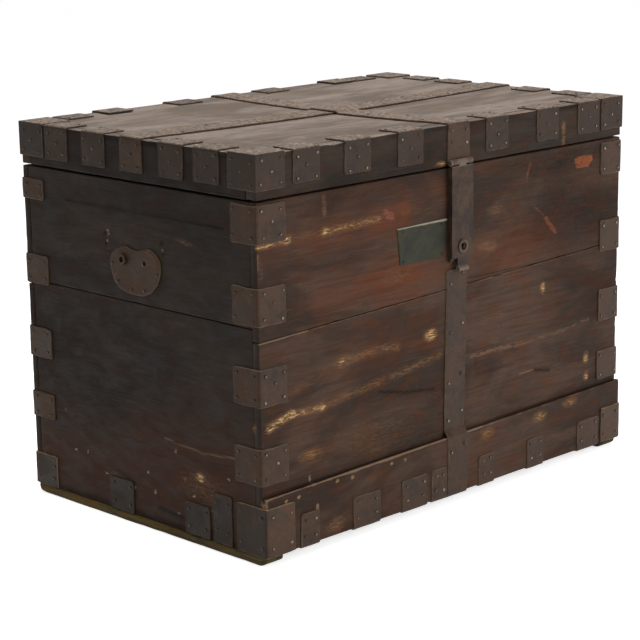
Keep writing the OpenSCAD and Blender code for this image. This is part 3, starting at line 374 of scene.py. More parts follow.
def wood(name, dark, mid, red, pale, along, rough=(0.5, 0.74), gold=(214, 180, 128), specular=0.1,
         contrast=1.0, grit=0.6):
    """Old stained wood, with its grain along one axis. The attribute 'marks' holds gold scuffs, red
    patches, grime with painted shade, and wear with painted highlights and painted light, and 'spots' a
    colour and its cover. grit is the share of the grime and painted shade that is left between its
    darkest specks."""
    dark, mid, red, pale, gold = (srgb(*color) for color in (dark, mid, red, pale, gold))
    s = Shader(name)

    def stretched(length, across):
        return [1000.0 / (length if a == along else across) for a in range(3)]

    broad = s.noise(stretched(260, 95), 4, 0.6, 0.5)
    figure = s.noise(stretched(230, 13), 4, 0.62, 0.9, (3, 1, 2))
    fibre = s.noise(stretched(46, 2.0), 3, 0.6, 0.3, (7, 4, 1))
    mottle = s.noise(stretched(48, 24), 6, 0.66, 0.4, (1, 9, 4))
    speck = s.noise(260.0, 3, 0.7, 0.0, (5, 5, 5))
    broken = s.noise(stretched(30, 5), 5, 0.7, 0.5, (2, 2, 9))
    crack = s.ramp(s.noise(stretched(300, 8), 2, 0.5, 0.8, (11, 3, 8)), 0.27, 0.235)
    flake = s.ramp(s.noise(stretched(11, 2.0), 4, 0.7, 0.4, (4, 8, 2)), 0.34, 0.64)
    scuff, ruddy, grime_and_shade, wear = s.channels("marks")
    scuff = s.times(scuff, s.plus(s.times(flake, 1.05), 0.4))
    base = s.mix(s.ramp(broad, 0.38, 0.6), dark, mid)
    base = s.mix(s.ramp(mottle, 0.46, 0.68, 0.0, 0.55 * contrast), base, red)
    base = s.mix(s.times(ruddy, s.ramp(mottle, 0.3, 0.6, 0.5, 1.0), True), base, red)
    base = s.mix(s.ramp(figure, 0.36, 0.56, 0.5 * contrast, 0.0), base, dark)
    for field, low, high, most, color in ((mottle, 0.46, 0.3, 0.6, dark), (fibre, 0.55, 0.8, 0.22, pale),
                                          (fibre, 0.44, 0.28, 0.5, dark), (speck, 0.66, 0.78, 0.5, pale)):
        base = s.mix(s.ramp(field, low, high, 0.0, most * contrast), base, color)
    # The wear channel lightens worn edges, and also paints highlights on edges and painted light on broad
    # patches.
    worn = s.ramp(s.plus(wear, s.times(broken, 0.9)), 0.9, 1.3)
    base = s.mix(worn, base, pale)
    warm = s.ramp(s.plus(scuff, s.times(broken, 0.5)), 0.35, 1.3, 0.0, 0.8)
    base = s.mix(warm, base, srgb(132, 96, 62))
    gild = s.ramp(s.plus(scuff, s.times(broken, 0.8)), 1.15, 1.9)
    base = s.mix(gild, base, gold)
    spots = s.value("spots")
    cover = s.times(spots.outputs["Alpha"], s.plus(s.times(flake, 0.9), 0.55))
    stain = s.mix(s.ramp(speck, 0.35, 0.7, 0.35, 0.0), spots.outputs["Color"], mid)
    base = s.mix(s.ramp(cover, 0.42, 0.85), base, stain)
    # The grime channel darkens dirt, and also paints shade: shadow gaps and darker regions.
    dirt_and_shade = s.times(grime_and_shade, s.ramp(speck, 0.32, 0.66, grit, 1.1), True)
    base = s.mix(dirt_and_shade, base, (dark[0] * 0.3, dark[1] * 0.3, dark[2] * 0.32, 1.0))
    base = s.mix(s.times(crack, 0.6), base, (dark[0] * 0.25, dark[1] * 0.22, dark[2] * 0.2, 1.0))
    shine = s.plus(s.ramp(mottle, 0.3, 0.7, rough[0], rough[1]), s.ramp(fibre, 0.3, 0.7, 0.06, -0.04))
    shine = s.plus(shine, s.times(dirt_and_shade, 0.15), True)
    height = s.plus(s.times(fibre, 0.5), s.times(figure, 0.5))
    height = s.plus(height, s.times(mottle, 1.1))
    height = s.plus(height, s.times(speck, 0.25))
    height = s.math("SUBTRACT", height, s.times(crack, 0.9))
    return s.finish(base, shine, height, 0.6, WOOD_BUMP, specular=specular)


def iron(name, dark, mid, rust, bright, rough=(0.45, 0.72), rust_low=0.52, rust_high=0.7, metallic=0.2,
         polish_and_highlight=(), dusty=None):
    """Old wrought iron with pitting, rust and worn rims. The attribute 'rim' is 1 at a piece's edges.
    polish_and_highlight lists heights (from, to) over which it turns bright, as rubbed iron and a painted
    highlight, dusty one over which dust lies, in metres."""
    dark, mid, rust, bright = (srgb(*color) for color in (dark, mid, rust, bright))
    s = Shader(name)
    cloud = s.noise(28.0, 5, 0.62, 0.5)
    patch = s.noise(60.0, 5, 0.68, 0.8, (3, 7, 1))
    pit = s.noise(420.0, 4, 0.7, 0.0, (2, 6, 3))
    fine = s.noise(1100.0, 2, 0.6, 0.0, (8, 1, 5))
    rim = s.value("rim").outputs["Fac"]
    split = s.tree.nodes.new("ShaderNodeSeparateXYZ")
    s.put(split.inputs[0], s.coords)
    for start, end in polish_and_highlight:
        rim = s.plus(rim, s.ramp(split.outputs[2], start, end), True)
    dust = s.ramp(split.outputs[2], *dusty) if dusty else s.value("dust").outputs["Fac"]
    base = s.mix(s.ramp(cloud, 0.28, 0.66), dark, mid)
    base = s.mix(s.ramp(patch, rust_low, rust_high, 0.0, 0.5), base, rust)
    base = s.mix(s.ramp(pit, 0.5, 0.32, 0.0, 0.55), base, dark)
    rub = s.ramp(s.plus(rim, s.times(patch, 0.9)), 0.9, 1.4)
    base = s.mix(s.times(rub, 0.5), base, bright)
    base = s.mix(s.ramp(fine, 0.62, 0.8, 0.0, 0.2), base, bright)
    base = s.mix(s.times(dust, s.ramp(patch, 0.35, 0.6, 0.95, 0.6)), base, srgb(118, 102, 90))
    fleck = s.noise(170.0, 4, 0.72, 0.3, (9, 2, 7))
    base = s.mix(s.times(dust, s.ramp(fleck, 0.5, 0.62, 0.0, 0.6)), base, srgb(160, 147, 133))
    base = s.mix(s.times(dust, s.ramp(fleck, 0.46, 0.36, 0.0, 0.7)), base, dark)
    shine = s.ramp(cloud, 0.3, 0.7, rough[0], rough[1])
    shine = s.plus(shine, s.times(dust, 0.15), True)
    height = s.plus(s.times(pit, 0.7), s.times(patch, 0.8))
    height = s.plus(height, s.times(fine, 0.2))
    return s.finish(base, shine, height, 0.5, IRON_BUMP, metallic=metallic, specular=0.2)


# The woods' colours are dark, mid, red and pale, the irons' dark, mid, rust and bright
FRONT_WOOD = wood("front_wood", (52, 39, 31), (82, 62, 50), (98, 56, 36), (128, 106, 86), 0, contrast=0.7)
LID_WOOD = wood("lid_wood", (38, 31, 26), (59, 48, 40), (74, 46, 32), (104, 88, 72), 0, contrast=0.65)
# The end woods, here and for the lid's end rails below, are darker copies of the stained wood: painted shade
# on the ends, which face away from the light.
END_WOOD_PAINTED_SHADE = wood("end_wood_painted_shade", (34, 28, 24), (46, 38, 32), (60, 38, 28), (88, 72, 56), 1, contrast=0.5)
BACK_WOOD = wood("back_wood", (36, 27, 22), (58, 44, 35), (70, 42, 29), (92, 74, 59), 0, contrast=0.8)
# The lid's top wood is pale from dust, and lighter still as painted light, since it faces the light.
TOP_WOOD_DUST_AND_PAINTED_LIGHT = wood("top_wood", (90, 78, 68), (128, 115, 106), (118, 94, 73), (178, 165, 152), 0, (0.5, 0.75),
                (170, 136, 84), specular=0.2, grit=0.3)
RAIL_END_WOOD_PAINTED_SHADE = wood("rail_end_wood", (30, 25, 21), (42, 35, 30), (54, 36, 27), (78, 66, 54), 1,
                     contrast=0.6)
SKID_WOOD = wood("skid_wood", (44, 38, 26), (86, 76, 50), (100, 80, 46), (160, 148, 108), 1, (0.6, 0.85),
                 contrast=1.3)
RAW_WOOD = wood("raw_wood", (66, 54, 42), (98, 82, 64), (106, 78, 54), (138, 118, 94), 0, (0.6, 0.85))

DARK = ((34, 28, 24), (54, 44, 37), (74, 48, 33), (96, 82, 70))
FRONT_IRON = iron("front_iron", (48, 37, 30), (82, 63, 51), (94, 63, 45), (140, 120, 100))
LID_IRON = iron("lid_iron", (42, 34, 29), (68, 54, 46), (84, 56, 42), (128, 112, 96))
# The left end's foot clips and the lid's end irons are darker copies: painted shade on the ends, which face
# away from the light.
FOOT_IRON_PAINTED_SHADE = iron("foot_iron_painted_shade", (30, 24, 20), (47, 38, 31), (78, 53, 34), (92, 76, 60))
LID_END_IRON_PAINTED_SHADE = iron("lid_end_iron", (34, 27, 22), (54, 43, 35), (80, 52, 30), (98, 82, 66))
END_IRON = iron("end_iron", (43, 31, 22), (66, 48, 34), (90, 60, 36), (112, 92, 70))
PLINTH_IRON = iron("plinth_iron", (58, 45, 35), (86, 68, 55), (106, 66, 40), (168, 142, 108), rust_low=0.45)
DARK_IRON = iron("dark_iron", *DARK)
HINGE_IRON = iron("hinge_iron", *DARK, dusty=(0.6188, 0.6197))
NAIL_IRON = iron("nail_iron", (40, 32, 27), (68, 55, 46), (88, 56, 36), (184, 170, 154), (0.3, 0.55), 0.58,
                 0.75, 0.5)
# The hasp turns bright in bands at its top by the knuckle and at its tongue: rubbed iron and a painted
# highlight.
HASP_IRON = iron("hasp_iron", (40, 30, 24), (82, 64, 52), (94, 62, 43), (134, 120, 108),
                 polish_and_highlight=((0.5495, 0.5515), (0.3935, 0.391)))
RUBBED_IRON = iron("rubbed_iron", (56, 45, 38), (94, 80, 70), (88, 62, 46), (148, 134, 121), (0.35, 0.55))
PLATE = iron("name_plate_patina", (26, 29, 20), (57, 56, 41), (62, 58, 40), (196, 186, 164), (0.4, 0.66),
             0.56, 0.76, 0.15)


# Boards


def places(piece):
    """A piece's points in millimetres from the middle of the wooden case."""
    points = np.zeros(len(piece.data.vertices) * 3)
    piece.data.vertices.foreach_get("co", points)
    return (points.reshape(-1, 3) - SHIFT) * 1000


def faces_up(normal):
    return normal.z > 0.75


def faces_end(normal):
    return abs(normal.x) > 0.75


def slanted(points, ends, back=False):
    """Maps a board made between two level heights onto slanting lower and upper lines, or back again."""
    (low_left, low_right), (high_left, high_right) = ends
    points = points.copy()
    share = (points[:, 0] + HALF_W) / (2 * HALF_W)
    low = low_left + (low_right - low_left) * share
    high = high_left + (high_right - high_left) * share
    if back:
        points[:, 2] = low_left + (points[:, 2] - low) / (high - low) * (high_left - low_left)
    else:
        points[:, 2] = low + (points[:, 2] - low_left) / (high_left - low_left) * (high - low)
    return points


def board(name, body, low, high, material, along, cell=5.0, radius=1.6, wear=1.0, seed=0, warp=0.7,
          shape=None, cut=(), edge=6.0, other=None, slant=None):
    """One board that stands for its CAD node. shape moves its points, and cut lists (low, high) boxes that
    are taken out of it. other is (test, material) for the faces whose normal passes the test, and slant
    gives the heights at the ends of its lower and upper line."""
    points, faces = slab(low, high, cell, radius, wear, seed, edge, warp, along)
    if slant:
        points = slanted(points, slant)
    if shape:
        points = shape(points)
    piece = new_object(name + "_worn", points, faces, body, name)
    for a, b in cut:
        take_out(piece, a, b)
    place = places(piece)
    marks = np.zeros((len(place), 4), np.float32)
    level = slanted(place, slant, True) if slant else place
    marks[:, WEAR_AND_PAINTED_LIGHT] = edge_share(level, low, high, 3.0) * 0.55
    spots = np.zeros((len(place), 4), np.float32)
    paint_marks(place, marks, spots)
    set_values(piece, "marks", np.clip(marks, 0, 1))
    set_values(piece, "spots", np.clip(spots, 0, 1))
    piece.data.materials.append(material)
    if other:
        second_material(piece, other[1], other[0])


# Marks of wear, gold scuffs, red patches and grime, with painted shade and painted highlights, laid on the
# boards by place


def along_line(u, v, points, width):
    """1 on a line of points, fading to 0 at about this distance from it."""
    near = np.full(len(u), 1e9)
    for (a0, b0), (a1, b1) in zip(points, points[1:]):
        du, dv = a1 - a0, b1 - b0
        t = np.clip(((u - a0) * du + (v - b0) * dv) / (du * du + dv * dv), 0, 1)
        near = np.minimum(near, np.hypot(u - a0 - t * du, v - b0 - t * dv))
    return np.exp(-(near / width) ** 2)


def in_patch(u, v, centre, half):
    """1 in the middle of an oval patch, fading to 0 at its edge."""
    far = ((u - centre[0]) / half[0]) ** 2 + ((v - centre[1]) / half[1]) ** 2
    return np.clip(1 - far, 0, 1) ** 1.5


# The grime channel also holds painted shade, and the wear channel painted highlights and painted light.
GOLD, RED, GRIME_AND_PAINTED_SHADE, WEAR_AND_PAINTED_LIGHT = range(4)
FRONT_LINES = [
    (GOLD, [(-429, 485), (-366, 487)], 6, 1.0), (GOLD, [(-366, 487), (-290, 489)], 10, 0.35),
    (GOLD, [(-290, 487), (-174, 491)], 7, 0.75), (RED, [(-180, 492), (-120, 494)], 16, 1.0),
    (GOLD, [(-120, 493), (-60, 490)], 9, 0.3), (RED, [(-429, 478), (-300, 480), (-120, 485)], 28, 0.5),
    (GOLD, [(-412, 211), (-366, 224)], 8, 1.1), (GOLD, [(-366, 222), (-300, 221)], 6, 0.9),
    (GOLD, [(-300, 221), (-241, 228), (-129, 240), (-35, 251)], 9, 0.5),
    (GOLD, [(-380, 255), (-259, 283)], 14, 0.3), (GOLD, [(-259, 283), (-181, 287), (-133, 283)], 9, 0.6),
    (GRIME_AND_PAINTED_SHADE, [(-178, 219), (-115, 206), (-50, 198)], 2.4, 1.0), (GRIME_AND_PAINTED_SHADE, [(77, 202), (147, 200)], 2, 0.5),
    # The pale wear line beside this crack is a painted highlight on its lip.
    (GRIME_AND_PAINTED_SHADE, [(205, 179), (243, 171)], 2.4, 1.0), (WEAR_AND_PAINTED_LIGHT, [(165, 180), (200, 181)], 3, 0.8),
    (GOLD, [(70, 287), (120, 292)], 9, 0.35),
    (WEAR_AND_PAINTED_LIGHT, [(-425, 470), (-421, 432)], 6, 0.4), (GOLD, [(-423, 466), (-420, 440)], 5, 0.3),
    (WEAR_AND_PAINTED_LIGHT, [(-323, 73), (-323, 57)], 3, 0.9), (WEAR_AND_PAINTED_LIGHT, [(-330, 119), (-329, 109)], 3, 0.9),
    (WEAR_AND_PAINTED_LIGHT, [(-429, 100), (-429, 38)], 5, 0.4), (GOLD, [(-429, 96), (-426, 70)], 5, 0.6),
]
FRONT_PATCHES = [
    (RED, (-120, 395), (130, 56), 0.9), (GOLD, (-128, 396), (80, 34), 0.35),
    (RED, (-240, 390), (140, 44), 0.5), (RED, (-60, 520), (110, 30), 0.4), (RED, (170, 400), (200, 64), 0.7),
    (GOLD, (92, 408), (36, 16), 0.5), (GOLD, (102, 466), (40, 20), 0.4), (GOLD, (61, 415), (30, 15), 0.35),
    (GOLD, (-57, 288), (22, 15), 1.3), (GOLD, (-329, 152), (38, 16), 0.6),
    (GOLD, (223.5, 317), (11, 17), 1.1), (GOLD, (344.5, 173), (13, 18), 0.9),
    (GOLD, (345.5, 140), (11, 14), 0.95), (GOLD, (71, 99), (30, 16), 0.75), (GOLD, (209, 98), (32, 15), 0.85),
    (GOLD, (290, 106), (34, 13), 0.8), (GOLD, (-282, 31), (34, 19), 0.65), (GOLD, (-33, 557), (22, 7), 0.9),
    # Painted shade: the grime patches that darken the right side and the strip just under the lid. Painted
    # light: the three wear patches that lighten the lower left and middle.
    (RED, (-150, 290), (160, 60), 0.3), (GRIME_AND_PAINTED_SHADE, (330, 300), (180, 150), 0.3),
    (GRIME_AND_PAINTED_SHADE, (300, 450), (210, 130), 0.5),
    (GRIME_AND_PAINTED_SHADE, (-240, 536), (230, 34), 0.42), (GRIME_AND_PAINTED_SHADE, (240, 536), (250, 34), 0.42),
    (WEAR_AND_PAINTED_LIGHT, (-200, 150), (200, 70), 0.35), (GOLD, (-190, 150), (190, 64), 0.3),
    (WEAR_AND_PAINTED_LIGHT, (60, 150), (120, 60), 0.25), (WEAR_AND_PAINTED_LIGHT, (-260, 60), (180, 50), 0.35),
]
END_LINES = [
    (WEAR_AND_PAINTED_LIGHT, [(-56, 156), (-140, 150), (-226, 158)], 3, 0.9),
    (GRIME_AND_PAINTED_SHADE, [(164, 504), (20, 505), (-201, 504)], 2.2, 0.9),
    (RED, [(270, 60), (-270, 60)], 75, 1.0), (RED, [(-30, 140), (-240, 150)], 60, 0.9),
    (WEAR_AND_PAINTED_LIGHT, [(-120, 60), (-210, 66)], 4, 0.6), (GOLD, [(-262, 212), (-268, 200)], 7, 1.0),
    (GRIME_AND_PAINTED_SHADE, [(-39, 40), (-159, 30)], 4, 0.9), (GRIME_AND_PAINTED_SHADE, [(61, 80), (23, 69), (20, 46)], 3.5, 0.7),
    # Painted shadow: a dark line along the foot, above the skid.
    (GRIME_AND_PAINTED_SHADE, [(260, 19), (-260, 19)], 5, 0.7),
]
END_PATCHES = [
    (GOLD, (-135, 110), (14, 10), 1.0), (GOLD, (-150, 90), (90, 40), 0.25), (GOLD, (-251, 62), (18, 14), 0.7),
    (WEAR_AND_PAINTED_LIGHT, (190, 155), (7, 6), 1.0), (WEAR_AND_PAINTED_LIGHT, (-190, 60), (8, 6), 1.0), (WEAR_AND_PAINTED_LIGHT, (-100, 100), (6, 6), 1.0),
    (GRIME_AND_PAINTED_SHADE, (150, 260), (200, 160), 0.25), (WEAR_AND_PAINTED_LIGHT, (20, 75), (260, 55), 0.5),
    (GOLD, (-100, 110), (170, 60), 0.16),
    (GRIME_AND_PAINTED_SHADE, (70, 463), (5, 5), 1.2), (GRIME_AND_PAINTED_SHADE, (67, 447), (5, 5), 1.0), (GRIME_AND_PAINTED_SHADE, (-63, 463.5), (5, 5), 1.2),
    (GRIME_AND_PAINTED_SHADE, (-67, 447), (5, 5), 1.0),
]
FRONT_SPOTS = [
    ((186, 106, 66), [(311, 521), (347, 520)], 6, 1.9), ((166, 92, 56), [(313, 513), (340, 512)], 5, 1.7),
    ((126, 72, 54), [(187, 531), (182, 520), (178, 505)], 4.5, 0.8),
    ((110, 66, 48), [(200, 458), (229, 434)], 5, 0.7), ((140, 80, 50), [(229, 434), (254, 408)], 6, 0.95),
    ((118, 78, 62), [(-291, 541), (-291, 516)], 7, 0.8), ((134, 78, 62), [(-158, 497), (-146, 490)], 9, 0.9),
    ((112, 86, 62), [(273, 588), (273, 554)], 6, 1.0),
    ((118, 84, 66), [(42, 235), (101, 234), (179, 231)], 6, 0.75),
    ((112, 84, 66), [(179, 231), (245, 233), (290, 235), (351, 242)], 5, 0.65),
]
FRONT_SPOTS += [((150, 120, 84), [(x, z), (x + 1, z)], 4, 1.0) for x, z in
                ((-388.7, 94.7), (-362.4, 95.6), (-279.4, 100.5), (-246.9, 98.8), (-159.6, 100.1),
                 (-128.1, 99.5))]
END_SPOTS = [((88, 62, 44), [(-98, 474), (-129, 470)], 8, 0.6),
             ((78, 58, 44), [(66, 472), (62, 440)], 6, 0.6)]
END_SPOTS += [((150, 134, 112), [(y, z), (y + 1, z + 1)], 3.5, 1.0) for y, z in
              ((166, 92), (137, 94), (-80, 140), (-13, 92), (20, 59), (-29, 63), (-83, 40), (-165, 90),
               (-66, 452), (64, 452), (62, 465), (90, 70), (-120, 76), (-200, 120))]


def paint_marks(place, marks, spots):
    x, y, z = place.T
    sides = ((y < -HALF_D + 4, x, FRONT_LINES, FRONT_PATCHES, FRONT_SPOTS),
             ((x < -HALF_W + 4) & (np.abs(y) < REACH + 0.5), y, END_LINES, END_PATCHES, END_SPOTS))
    for mask, u, line_list, patch_list, spot_list in sides:
        if not mask.any():
            continue
        us, zs = u[mask], z[mask]
        for channel, points, width, share in line_list:
            marks[mask, channel] += share * along_line(us, zs, points, width)
        for channel, centre, half, share in patch_list:
            marks[mask, channel] += share * in_patch(us, zs, centre, half)
        for color, points, width, share in spot_list:
            cover = share * along_line(us, zs, points, width)
            more = cover > spots[mask, 3]
            rows = np.flatnonzero(mask)[more]
            spots[rows, :3] = srgb(*color)[:3]
            spots[rows, 3] = cover[more]
    # Wear along the seams and the foot of the front, with a painted highlight on those edges; painted shade
    #     in the gap above the plinth and on the plinth's top against the case; grime along the rim of the
    #     lid's top
    front = y < -HALF_D + 4
    foot = y < -HALF_D - 5
    seam_wear_and_highlight = np.where(x < -330, 0.6, 0.3) * np.exp(-((z - seam(x) + 1.5) / 1.8) ** 2)
    marks[:, WEAR_AND_PAINTED_LIGHT] += np.where(front, seam_wear_and_highlight, 0)
    edge = np.exp(-((z - plinth_top(x) + 1.6) / 1.6) ** 2)
    marks[:, WEAR_AND_PAINTED_LIGHT] += np.where(foot, np.where(x < 60, 0.5, 0.25) * edge, 0)
    marks[:, GOLD] += np.where(foot, np.where(x < 60, 0.35, 0.15) * edge, 0)
    # Painted shade: a dark line where the lower board meets the plinth, and the plinth's top darkening
    # towards the case.
    line = 0.7 * np.exp(-((z - plinth_top(x)) / 1.5) ** 2)
    plinth_painted_shade = np.where(y < -HALF_D - 0.5, np.clip((y - PLINTH_Y - 3) / 3, 0, 1), line)
    marks[:, GRIME_AND_PAINTED_SHADE] += np.where(front & (np.abs(z - plinth_top(x)) < 6), plinth_painted_shade, 0)
    on_top = z > LID_TOP - 7
    rim = np.clip(1 - np.minimum(HALF_W - np.abs(x), HALF_D - np.abs(y)) / 70, 0, 1)
    marks[:, GRIME_AND_PAINTED_SHADE] += np.where(on_top, rim * np.clip(0.25 + 0.6 * noise(place, 42, 5), 0, 1), 0)
    corner = np.exp(-np.hypot(x + HALF_W, (y + HALF_D) * 1.2) / 170)
    marks[:, WEAR_AND_PAINTED_LIGHT] += np.where(on_top, corner * np.clip(0.55 + 0.9 * noise(place, 20, 6), 0, 1), 0)
    marks[:, GRIME_AND_PAINTED_SHADE] += np.where(on_top, corner * np.clip(0.9 * noise(place, 14, 7), 0, 1), 0)


def take_out(piece, low, high):
    """Cuts a box out of a piece."""
    corners, faces = box_surface(*[np.array([low[a], high[a]], float) for a in range(3)])
    cut_with(piece, corners, faces.tolist())


def cut_with(piece, corners, faces):
    """Cuts a closed shape out of a piece and keeps the result as its mesh."""
    mesh = bpy.data.meshes.new("cutter")
    mesh.from_pydata(to_frame(corners).tolist(), [], [tuple(f) for f in faces])
    cutter = linked("cutter", mesh)
    modifier = piece.modifiers.new("cut", "BOOLEAN")
    modifier.operation = "DIFFERENCE"
    modifier.solver = "EXACT"
    modifier.object = cutter
    graph = bpy.context.evaluated_depsgraph_get()
    result = bpy.data.meshes.new_from_object(piece.evaluated_get(graph))
    old = piece.data
    piece.modifiers.clear()
    piece.data = result
    bpy.data.meshes.remove(old)
    bpy.data.objects.remove(cutter)
    bpy.data.meshes.remove(mesh)


def end_rabbets(y0, y1):
    """The two boxes that the end boards' edges take out of a front or back board."""
    return [((-HALF_W - 5, y0, 0), (-HALF_W + WALL, y1, 700)),
            ((HALF_W - WALL, y0, 0), (HALF_W + 5, y1, 700))]


FRONT_RABBETS = end_rabbets(-HALF_D + 14, -HALF_D + 30)
BACK_RABBETS = end_rabbets(HALF_D - 30, HALF_D - 14)
# The lock case's pocket and the staple's slot
LOCK_CUTS = [((-12.0, -280.0, 403.5), (26.0, -256.0, 463.5)), ((3.5, -280.0, 404.5), (10.5, -259.0, 560.0))]

# The front and back boards' end faces take the end wood, whose darker colour is painted shade.
board("front_upper_board", "case", (-HALF_W, -HALF_D, FRONT_SEAM[0]), (HALF_W, -HALF_D + WALL, CASE_TOP),
      FRONT_WOOD, 0, (3, 8, 3), 1.7, 1.0, 11, 0.7, None, FRONT_RABBETS + LOCK_CUTS,
      other=(faces_end, END_WOOD_PAINTED_SHADE), slant=(FRONT_SEAM, (CASE_TOP, CASE_TOP)))
board("front_lower_board", "case", (-HALF_W, -HALF_D, CASE_Z), (HALF_W, -HALF_D + WALL, FRONT_SEAM[0]),
      FRONT_WOOD, 0, (3, 8, 3), 2.2, 1.0, 23, 0.8, None, FRONT_RABBETS,
      other=(faces_end, END_WOOD_PAINTED_SHADE), slant=((CASE_Z, CASE_Z), FRONT_SEAM))
for tag, z0, z1, seed in (("upper", BACK_SEAM, CASE_TOP, 37), ("lower", CASE_Z, BACK_SEAM, 41)):
    board(f"back_{tag}_board", "case", (-HALF_W, HALF_D - WALL, z0), (HALF_W, HALF_D, z1), BACK_WOOD, 0,
          (7, 8, 7), 1.6, 0.8, seed, 0.7, None, BACK_RABBETS, other=(faces_end, END_WOOD_PAINTED_SHADE))
for side, tag in ((-1, "left"), (1, "right")):
    x0, x1 = sorted((side * HALF_W, side * (HALF_W - WALL)))
    board(f"{tag}_upper_board", "case", (x0, -REACH, END_SEAM), (x1, REACH, CASE_TOP), END_WOOD_PAINTED_SHADE, 1,
          (8, 4, 4), 1.5, 0.8, 53 + side, 0.7)
    board(f"{tag}_lower_board", "case", (x0, -REACH, CASE_Z), (x1, REACH, END_SEAM), END_WOOD_PAINTED_SHADE, 1,
          (8, 4, 4), 1.5, 0.8, 61 + side, 0.8)


def plinth_shape(points):
    """Bevels the plinth board's upper front edge."""
    bevel = 2.5
    points = points.copy()
    back = bevel - np.clip(plinth_top(points[:, 0]) - points[:, 2], 0, bevel)
    points[:, 1] += back * np.clip(1 - (points[:, 1] - PLINTH_Y) / 3.0, 0, 1)
    return points


board("front_plinth_board", "case", (-HALF_W, PLINTH_Y, CASE_Z), (HALF_W, -HALF_D, PLINTH_TOP[0]), FRONT_WOOD,
      0, (3, 5, 3), 1.2, 1.2, 71, 0.7, plinth_shape, (), 3.0,
      slant=((CASE_Z, CASE_Z), PLINTH_TOP))


def rounded(distance, radius):
    """How far a rounded end is drawn in at this distance from its tip."""
    return radius - np.sqrt(radius ** 2 - (radius - np.clip(distance, 0, radius)) ** 2)


def skid_shape(points):
    """Rounds a skid's ends from below and from the sides."""
    points = points.copy()
    from_end = np.minimum(points[:, 1] - SKID_FRONT, HALF_D - points[:, 1])
    lift = rounded(from_end, 14)
    points[:, 2] = lift + points[:, 2] / CASE_Z * (CASE_Z - lift)
    middle = np.sign(points[:, 0]) * SKID_X
    points[:, 0] = middle + (points[:, 0] - middle) * (SKID_HALF - rounded(from_end, 11)) / SKID_HALF
    return points


for side, tag in ((-1, "left"), (1, "right")):
    x0, x1 = sorted((side * (SKID_X + SKID_HALF), side * (SKID_X - SKID_HALF)))
    board(f"{tag}_skid", "case", (x0, SKID_FRONT, 0), (x1, HALF_D, CASE_Z), SKID_WOOD, 1, (5, 4, 4), 3.6, 1.0,
          83 + side, 0.5, skid_shape, (), 5.0)


def bottom_boards():
    inner_x = HALF_W - WALL
    inner_y = HALF_D - WALL
    width = 167.0
    parts = []
    for i in range(3):
        y = -inner_y + i * (width + 0.5)
        low, high = (-inner_x, y, CASE_Z), (inner_x, y + width, CASE_Z + 18)
        points, faces = slab(low, high, (12, 9, 9), 1.4, 0.6, 91 + i, 5.0, 0.5, 0)
        marks = np.zeros((len(points), 4))
        marks[:, WEAR_AND_PAINTED_LIGHT] = edge_share(points, low, high, 3.0) * 0.4
        parts.append((points, faces, marks))
    points, faces, marks = join(parts)
    piece = new_object("bottom_boards_worn", points, faces, "case", "bottom_boards")
    set_values(piece, "marks", marks)
    set_values(piece, "spots", np.zeros((len(points), 4)))
    piece.data.materials.append(RAW_WOOD)


bottom_boards()


def lid_shape(points):
    points = points.copy()
    points[:, 2] -= sag(points[:, 0], points[:, 1])
    return points


for name, y0, y1 in (("lid_front_board", -HALF_D + WALL, 0.0), ("lid_back_board", 0.0, HALF_D - WALL)):
    board(name, "lid", (-HALF_W + WALL, y0, LID_TOP - 18), (HALF_W - WALL, y1, LID_TOP), RAW_WOOD, 0,
          (6, 6, 8), 0.9, 0.5, 101 + int(y0), 0.6, lid_shape, (),
          other=(faces_up, TOP_WOOD_DUST_AND_PAINTED_LIGHT))
board("lid_front_rail", "lid", (-HALF_W, -HALF_D, LID_Z), (HALF_W, -HALF_D + WALL, LID_TOP), LID_WOOD, 0,
      (3, 6, 3), 1.8, 1.2, 113, 0.6, None, (), other=(faces_up, TOP_WOOD_DUST_AND_PAINTED_LIGHT))
board("lid_back_rail", "lid", (-HALF_W, HALF_D - WALL, LID_Z), (HALF_W, HALF_D, LID_TOP), BACK_WOOD, 0,
      (7, 7, 7), 1.6, 1.0, 127, 0.6, other=(faces_up, TOP_WOOD_DUST_AND_PAINTED_LIGHT))
for side, tag in ((-1, "left"), (1, "right")):
    x0, x1 = sorted((side * HALF_W, side * (HALF_W - WALL)))
    board(f"lid_{tag}_rail", "lid", (x0, -HALF_D + WALL, LID_Z), (x1, HALF_D - WALL, LID_TOP), RAIL_END_WOOD_PAINTED_SHADE,
          1, (6, 5.5, 5.5), 1.6, 1.0, 131 + side, 0.6, other=(faces_up, TOP_WOOD_DUST_AND_PAINTED_LIGHT))


# Bent plates


def turned_path(corners, radius=2.5, step=6.0):
    """A line of 2-D corners with its bends rounded: points and the normals on its outer side."""
    corners = [np.array(c, float) for c in corners]
    points = [corners[0]]
    for a, b, c in zip(corners, corners[1:], corners[2:]):
        u, v = (a - b) / np.linalg.norm(a - b), (c - b) / np.linalg.norm(c - b)
        turn = math.acos(max(-1, min(1, float(u @ v))))
        cut = radius / math.tan(turn / 2) if turn < 3.1 else 0.0
        cut = min(cut, np.linalg.norm(a - b) * 0.45, np.linalg.norm(c - b) * 0.45)
        p, q = b + u * cut, b + v * cut
        for t in np.linspace(0, 1, 5):
            points.append((1 - t) ** 2 * p + 2 * t * (1 - t) * b + t * t * q)
    points.append(corners[-1])
    out = [points[0]]
    for a, b in zip(points, points[1:]):
        count = max(1, int(math.ceil(np.linalg.norm(b - a) / step)))
        out += [a + (b - a) * (k + 1) / count for k in range(count)]
    out = [p for i, p in enumerate(out) if i == 0 or np.linalg.norm(p - out[i - 1]) > 0.05]
    out = np.array(out)
    tangent = np.gradient(out, axis=0)
    tangent /= np.linalg.norm(tangent, axis=1)[:, None]
    return out, np.stack([-tangent[:, 1], tangent[:, 0]], 1)


